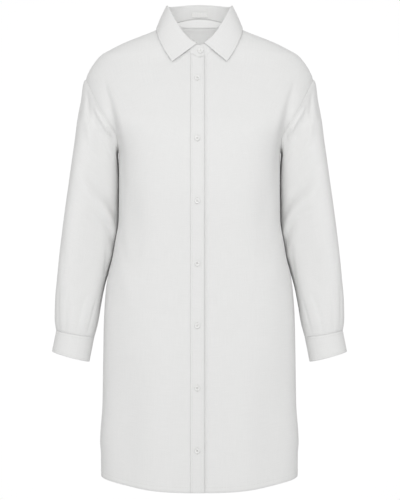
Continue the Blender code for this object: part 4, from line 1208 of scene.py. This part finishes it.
def thread_material():
    """Twisted white sewing thread."""
    made, tree, shader, noise = clouded_material("white sewing thread", {"Scale": 2400.0}, *THREAD_GREYS)
    bump = add_node(tree, "Bump", {"Strength": 0.4, "Distance": 0.0001, "Height": noise})
    fill_inputs(tree, shader, {"Normal": bump.outputs["Normal"], "Roughness": 0.6})
    return made


def floor_material():
    made, tree, shader = clouded_material("pale floor", {"Scale": 3.0}, *FLOOR_GREYS)[:3]
    fill_inputs(tree, shader, {"Roughness": 0.8})
    return made


def aim(made, place, target):
    made.location = place
    way = np.asarray(target, float) - np.asarray(place, float)
    turn_z = math.atan2(way[0], way[1])
    turn_x = math.atan2(way[2], math.hypot(way[0], way[1]))
    made.rotation_euler = (math.pi / 2 + turn_x, 0.0, -turn_z)


def soft_light(name, energy, size, place, target):
    """A square light that the camera doesn't see."""
    light = bpy.data.lights.new(name, "AREA")
    light.shape = "SQUARE"
    light.size = size
    light.energy = energy
    lamp = bpy.data.objects.new(name, light)
    bpy.context.collection.objects.link(lamp)
    lamp.visible_camera = False
    aim(lamp, place, target)


def studio():
    lens = bpy.data.cameras.new("camera")
    lens.sensor_fit = "VERTICAL"
    lens.sensor_height = SENSOR_HEIGHT
    lens.lens = CAMERA_LENS
    camera = bpy.data.objects.new("camera", lens)
    bpy.context.collection.objects.link(camera)
    aim(camera, CAMERA_PLACE, (CAMERA_PLACE[0], 0.0, CAMERA_PLACE[2]))
    bpy.context.scene.camera = camera

    world = bpy.data.worlds.new("studio")
    world.use_nodes = True
    tree = world.node_tree
    place = tree.nodes.new("ShaderNodeTexCoord")
    split = add_node(tree, "SeparateXYZ", {"Vector": place.outputs["Generated"]})
    square = math_node(tree, "POWER", math_node(tree, "ABSOLUTE", split.outputs["Y"]), 2.0)
    level = math_node(tree, "MULTIPLY_ADD", square, WORLD_FRONT, WORLD_SIDE)
    fill_inputs(tree, tree.nodes["Background"], {"Strength": level, "Color": (1.0, 1.0, 1.0, 1.0)})
    bpy.context.scene.world = world
    bpy.context.scene.view_settings.view_transform = "Standard"

    soft_light("front light", FRONT_LIGHT, FRONT_LIGHT_SIZE, FRONT_LIGHT_PLACE, LIGHT_AIM)
    soft_light("neck light", NECK_LIGHT, NECK_LIGHT_SIZE, NECK_LIGHT_PLACE, NECK_LIGHT_AIM)

    right, back, middle = np.eye(3)[0], np.eye(3)[1], np.array([0.0, 0.0, FLOOR_Z])
    rim = ring_points(middle, right, back, FLOOR_RADIUS, FLOOR_SIDES)
    floor = mesh_object("floor", np.array(rim), [tuple(range(FLOOR_SIDES))], floor_material())


def dress_piece(piece, node):
    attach(piece, "root")
    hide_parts(node)


def sewn_piece(node, outer, inner, look, closed_around=False):
    """The cloth shell of a node, between its outer and inner grids, shown in place of the node's own part."""
    piece = shell(node + "_cloth", outer, inner, look, closed_around)
    dress_piece(piece, node)


def inside_piece(name, node, slot, face, back, look, flat, rests_on):
    """A piece on the inner side of the neck, a shell between its back and its face, shown in place of the
    node's own part.
    """
    piece = shell(name, back, face, look)
    dress_piece(piece, node)


def hemmed(outer, normals, rows_up):
    """Inner points of a panel whose turned hem is thicker for a depth above its first row."""
    height = np.stack([run_along(outer[:rows_up, j]) for j in range(outer.shape[1])], axis=1)
    thick = np.full(outer.shape[:2], THIN)
    thick[:rows_up] += HEM_THICK * smooth_step((HEM_DEPTH + HEM_EDGE - height) / (2 * HEM_EDGE))
    return outer - normals * thick[..., None]


def front_buttons(placket, placket_out, stand, stand_out):
    """Name, centre, direction out and direction of the hole of each button down the front."""
    share = (PLACKET_LEFT_X - BUTTON_LINE_X) / (PLACKET_LEFT_X - PLACKET_RIGHT_X)
    column = round(share * STRIP_COLUMNS)
    line, out = placket[:, column], placket_out[:, column]
    found = []
    for k in range(BUTTON_COUNT):
        z = BUTTON_FIRST_Z - k * BUTTON_SPACING
        centre, normal = point_at(z, line[:, 2], line), unit(point_at(z, line[:, 2], out))
        found.append((f"button_{k + 1}", centre, normal, unit(np.cross(normal, [1.0, 0.0, 0.0]))))
    column = stand.shape[1] - 1 - (len(STAND_OVER_COLUMNS) - 1 - COLLAR_BUTTON_COLUMN) * STAND_FINER
    centre, normal = stand[STAND_ROWS // 2, column], stand_out[STAND_ROWS // 2, column]
    return found + [("button_collar", centre, normal, unit(np.cross([0.0, 0.0, 1.0], normal)))]


def dress():
    cloth = cloth_material("white linen cotton", *BODY_LOOK)
    crisp = cloth_material("white collar cloth", *COLLAR_LOOK)
    lining = cloth_material("white facing cloth", *FACING_LOOK)
    tape = cloth_material("bare label tape", *TAPE_LOOK)
    pearl = shell_button_material()
    thread = thread_material()
    sewing = []

    right, right_out = front_right_grid(FINE_FRONT)
    left, left_out = front_left_grid(FINE_FRONT)
    back, back_out = back_grid(FINE_BACK)
    panels = (
        ("front_right", right, right_out, FRONT_FLAT, ["back"]),
        ("front_left", left, left_out, FRONT_FLAT, ["back"]),
        ("back", back, back_out, BACK_FLAT, ["front_right", "front_left"]),
    )
    for node, outer, out, flat, near in panels:
        sewn_piece(node, outer, hemmed(outer, out, HEM_ROWS), cloth)
        sewing += stitch_row(*line_at(outer, out, HEM_STITCH_IN, "bottom"))

    for side, mirrored in SIDES:
        sleeve, out = sleeve_grid(SLEEVE_ROWS, SLEEVE_AROUND, mirrored)
        near = ["front_" + side, "back"]
        sewn_piece("sleeve_" + side, sleeve, sleeve - out * THIN, cloth, True)
        sewing += stitch_row(*line_at(sleeve, out, SLEEVE_STITCH_IN, "bottom"), closed_around=True)
        cuff, out = cuff_grid(CUFF_AROUND, CUFF_ROWS, mirrored)
        sewn_piece("cuff_" + side, cuff, cuff - out * WALL, crisp)
        for edge in ("bottom", "top", "right"):
            sewing += stitch_row(*cut_ends(*line_at(cuff, out, CUFF_STITCH_IN, edge), CUFF_STITCH_IN))

    stand, stand_out = stand_grid(STAND_ROWS, STAND_FINER)
    near = ["front_right", "front_left", "back"]
    sewn_piece("collar_stand", stand, stand - stand_out * WALL, crisp)
    under, under_in = fall_grid(FALL_COLUMNS, FALL_ROLL_ROWS, FALL_FLAT_ROWS)
    top = under - under_in * WALL
    sewn_piece("collar", top, under, crisp)
    for edge in ("top", "left", "right"):
        rows = slice(None) if edge == "top" else slice(FALL_ROLL_ROWS + 1, None)
        line, out = line_at(top[rows], -under_in[rows], COLLAR_STITCH_IN, edge)
        sewing += stitch_row(*cut_ends(line, out, COLLAR_STITCH_IN))
    sewing += stitch_row(*line_at(stand, stand_out, STAND_STITCH_IN, "bottom"))

    placket, placket_back = fine_placket(right, right_out)
    placket_out = right_out[:, : STRIP_COLUMNS + 1]
    sewn_piece("placket", placket, placket_back, crisp)
    for edge in ("left", "right"):
        sewing += stitch_row(*line_at(placket, placket_out, PLACKET_STITCH_IN, edge))
    facing = fine_facing(back, back_out, FACING_ROWS)
    inside_piece("neck_facing_cloth", "neck_facing", "facing_cloth", *facing, lining, FACING_FLAT, ["back"])
    label = fine_label(LABEL_COLUMNS, LABEL_ROWS)
    inside_piece("neck_label_tape", "neck_label", "label_tape", *label, tape, LABEL_FLAT, ["collar_stand"])

    runs, hole_vertices, hole_faces = [], [], []
    for node, centre, normal, along in front_buttons(placket, placket_out, stand, stand_out):
        made, faces = buttonhole(centre, normal, along)
        hole_faces += [tuple(i + len(hole_vertices) for i in f) for f in faces]
        hole_vertices += made
        button, cross = build_button(node + "_shell", centre + normal * LAY_GAP, normal, pearl)
        dress_piece(button, node)
        runs += cross
    for side, mirrored in SIDES:
        cuff, out = cuff_grid(CUFF_AROUND, CUFF_ROWS, mirrored)
        column = round((2 * math.pi + CUFF_LAP / 2) / (2 * math.pi + CUFF_LAP) * CUFF_AROUND)
        centre, normal = cuff[CUFF_ROWS // 2, column], out[CUFF_ROWS // 2, column]
        node = "cuff_button_" + side
        button, cross = build_button(node + "_shell", centre + normal * LAY_GAP, normal, pearl)
        dress_piece(button, node)
        runs += cross
    holes = mesh_object("buttonholes", np.array(hole_vertices), hole_faces, thread)
    crossing = thread_mesh("button_thread", runs, thread)
    rows = stitching("stitching", sewing, thread)
    for piece in (holes, crossing, rows):
        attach(piece, "root")


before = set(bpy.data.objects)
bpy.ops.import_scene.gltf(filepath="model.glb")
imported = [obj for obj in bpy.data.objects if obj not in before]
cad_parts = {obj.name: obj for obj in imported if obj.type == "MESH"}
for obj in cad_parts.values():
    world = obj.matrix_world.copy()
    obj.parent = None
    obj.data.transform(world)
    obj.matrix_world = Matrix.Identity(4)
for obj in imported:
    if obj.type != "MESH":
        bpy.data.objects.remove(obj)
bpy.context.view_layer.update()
studio()
dress()
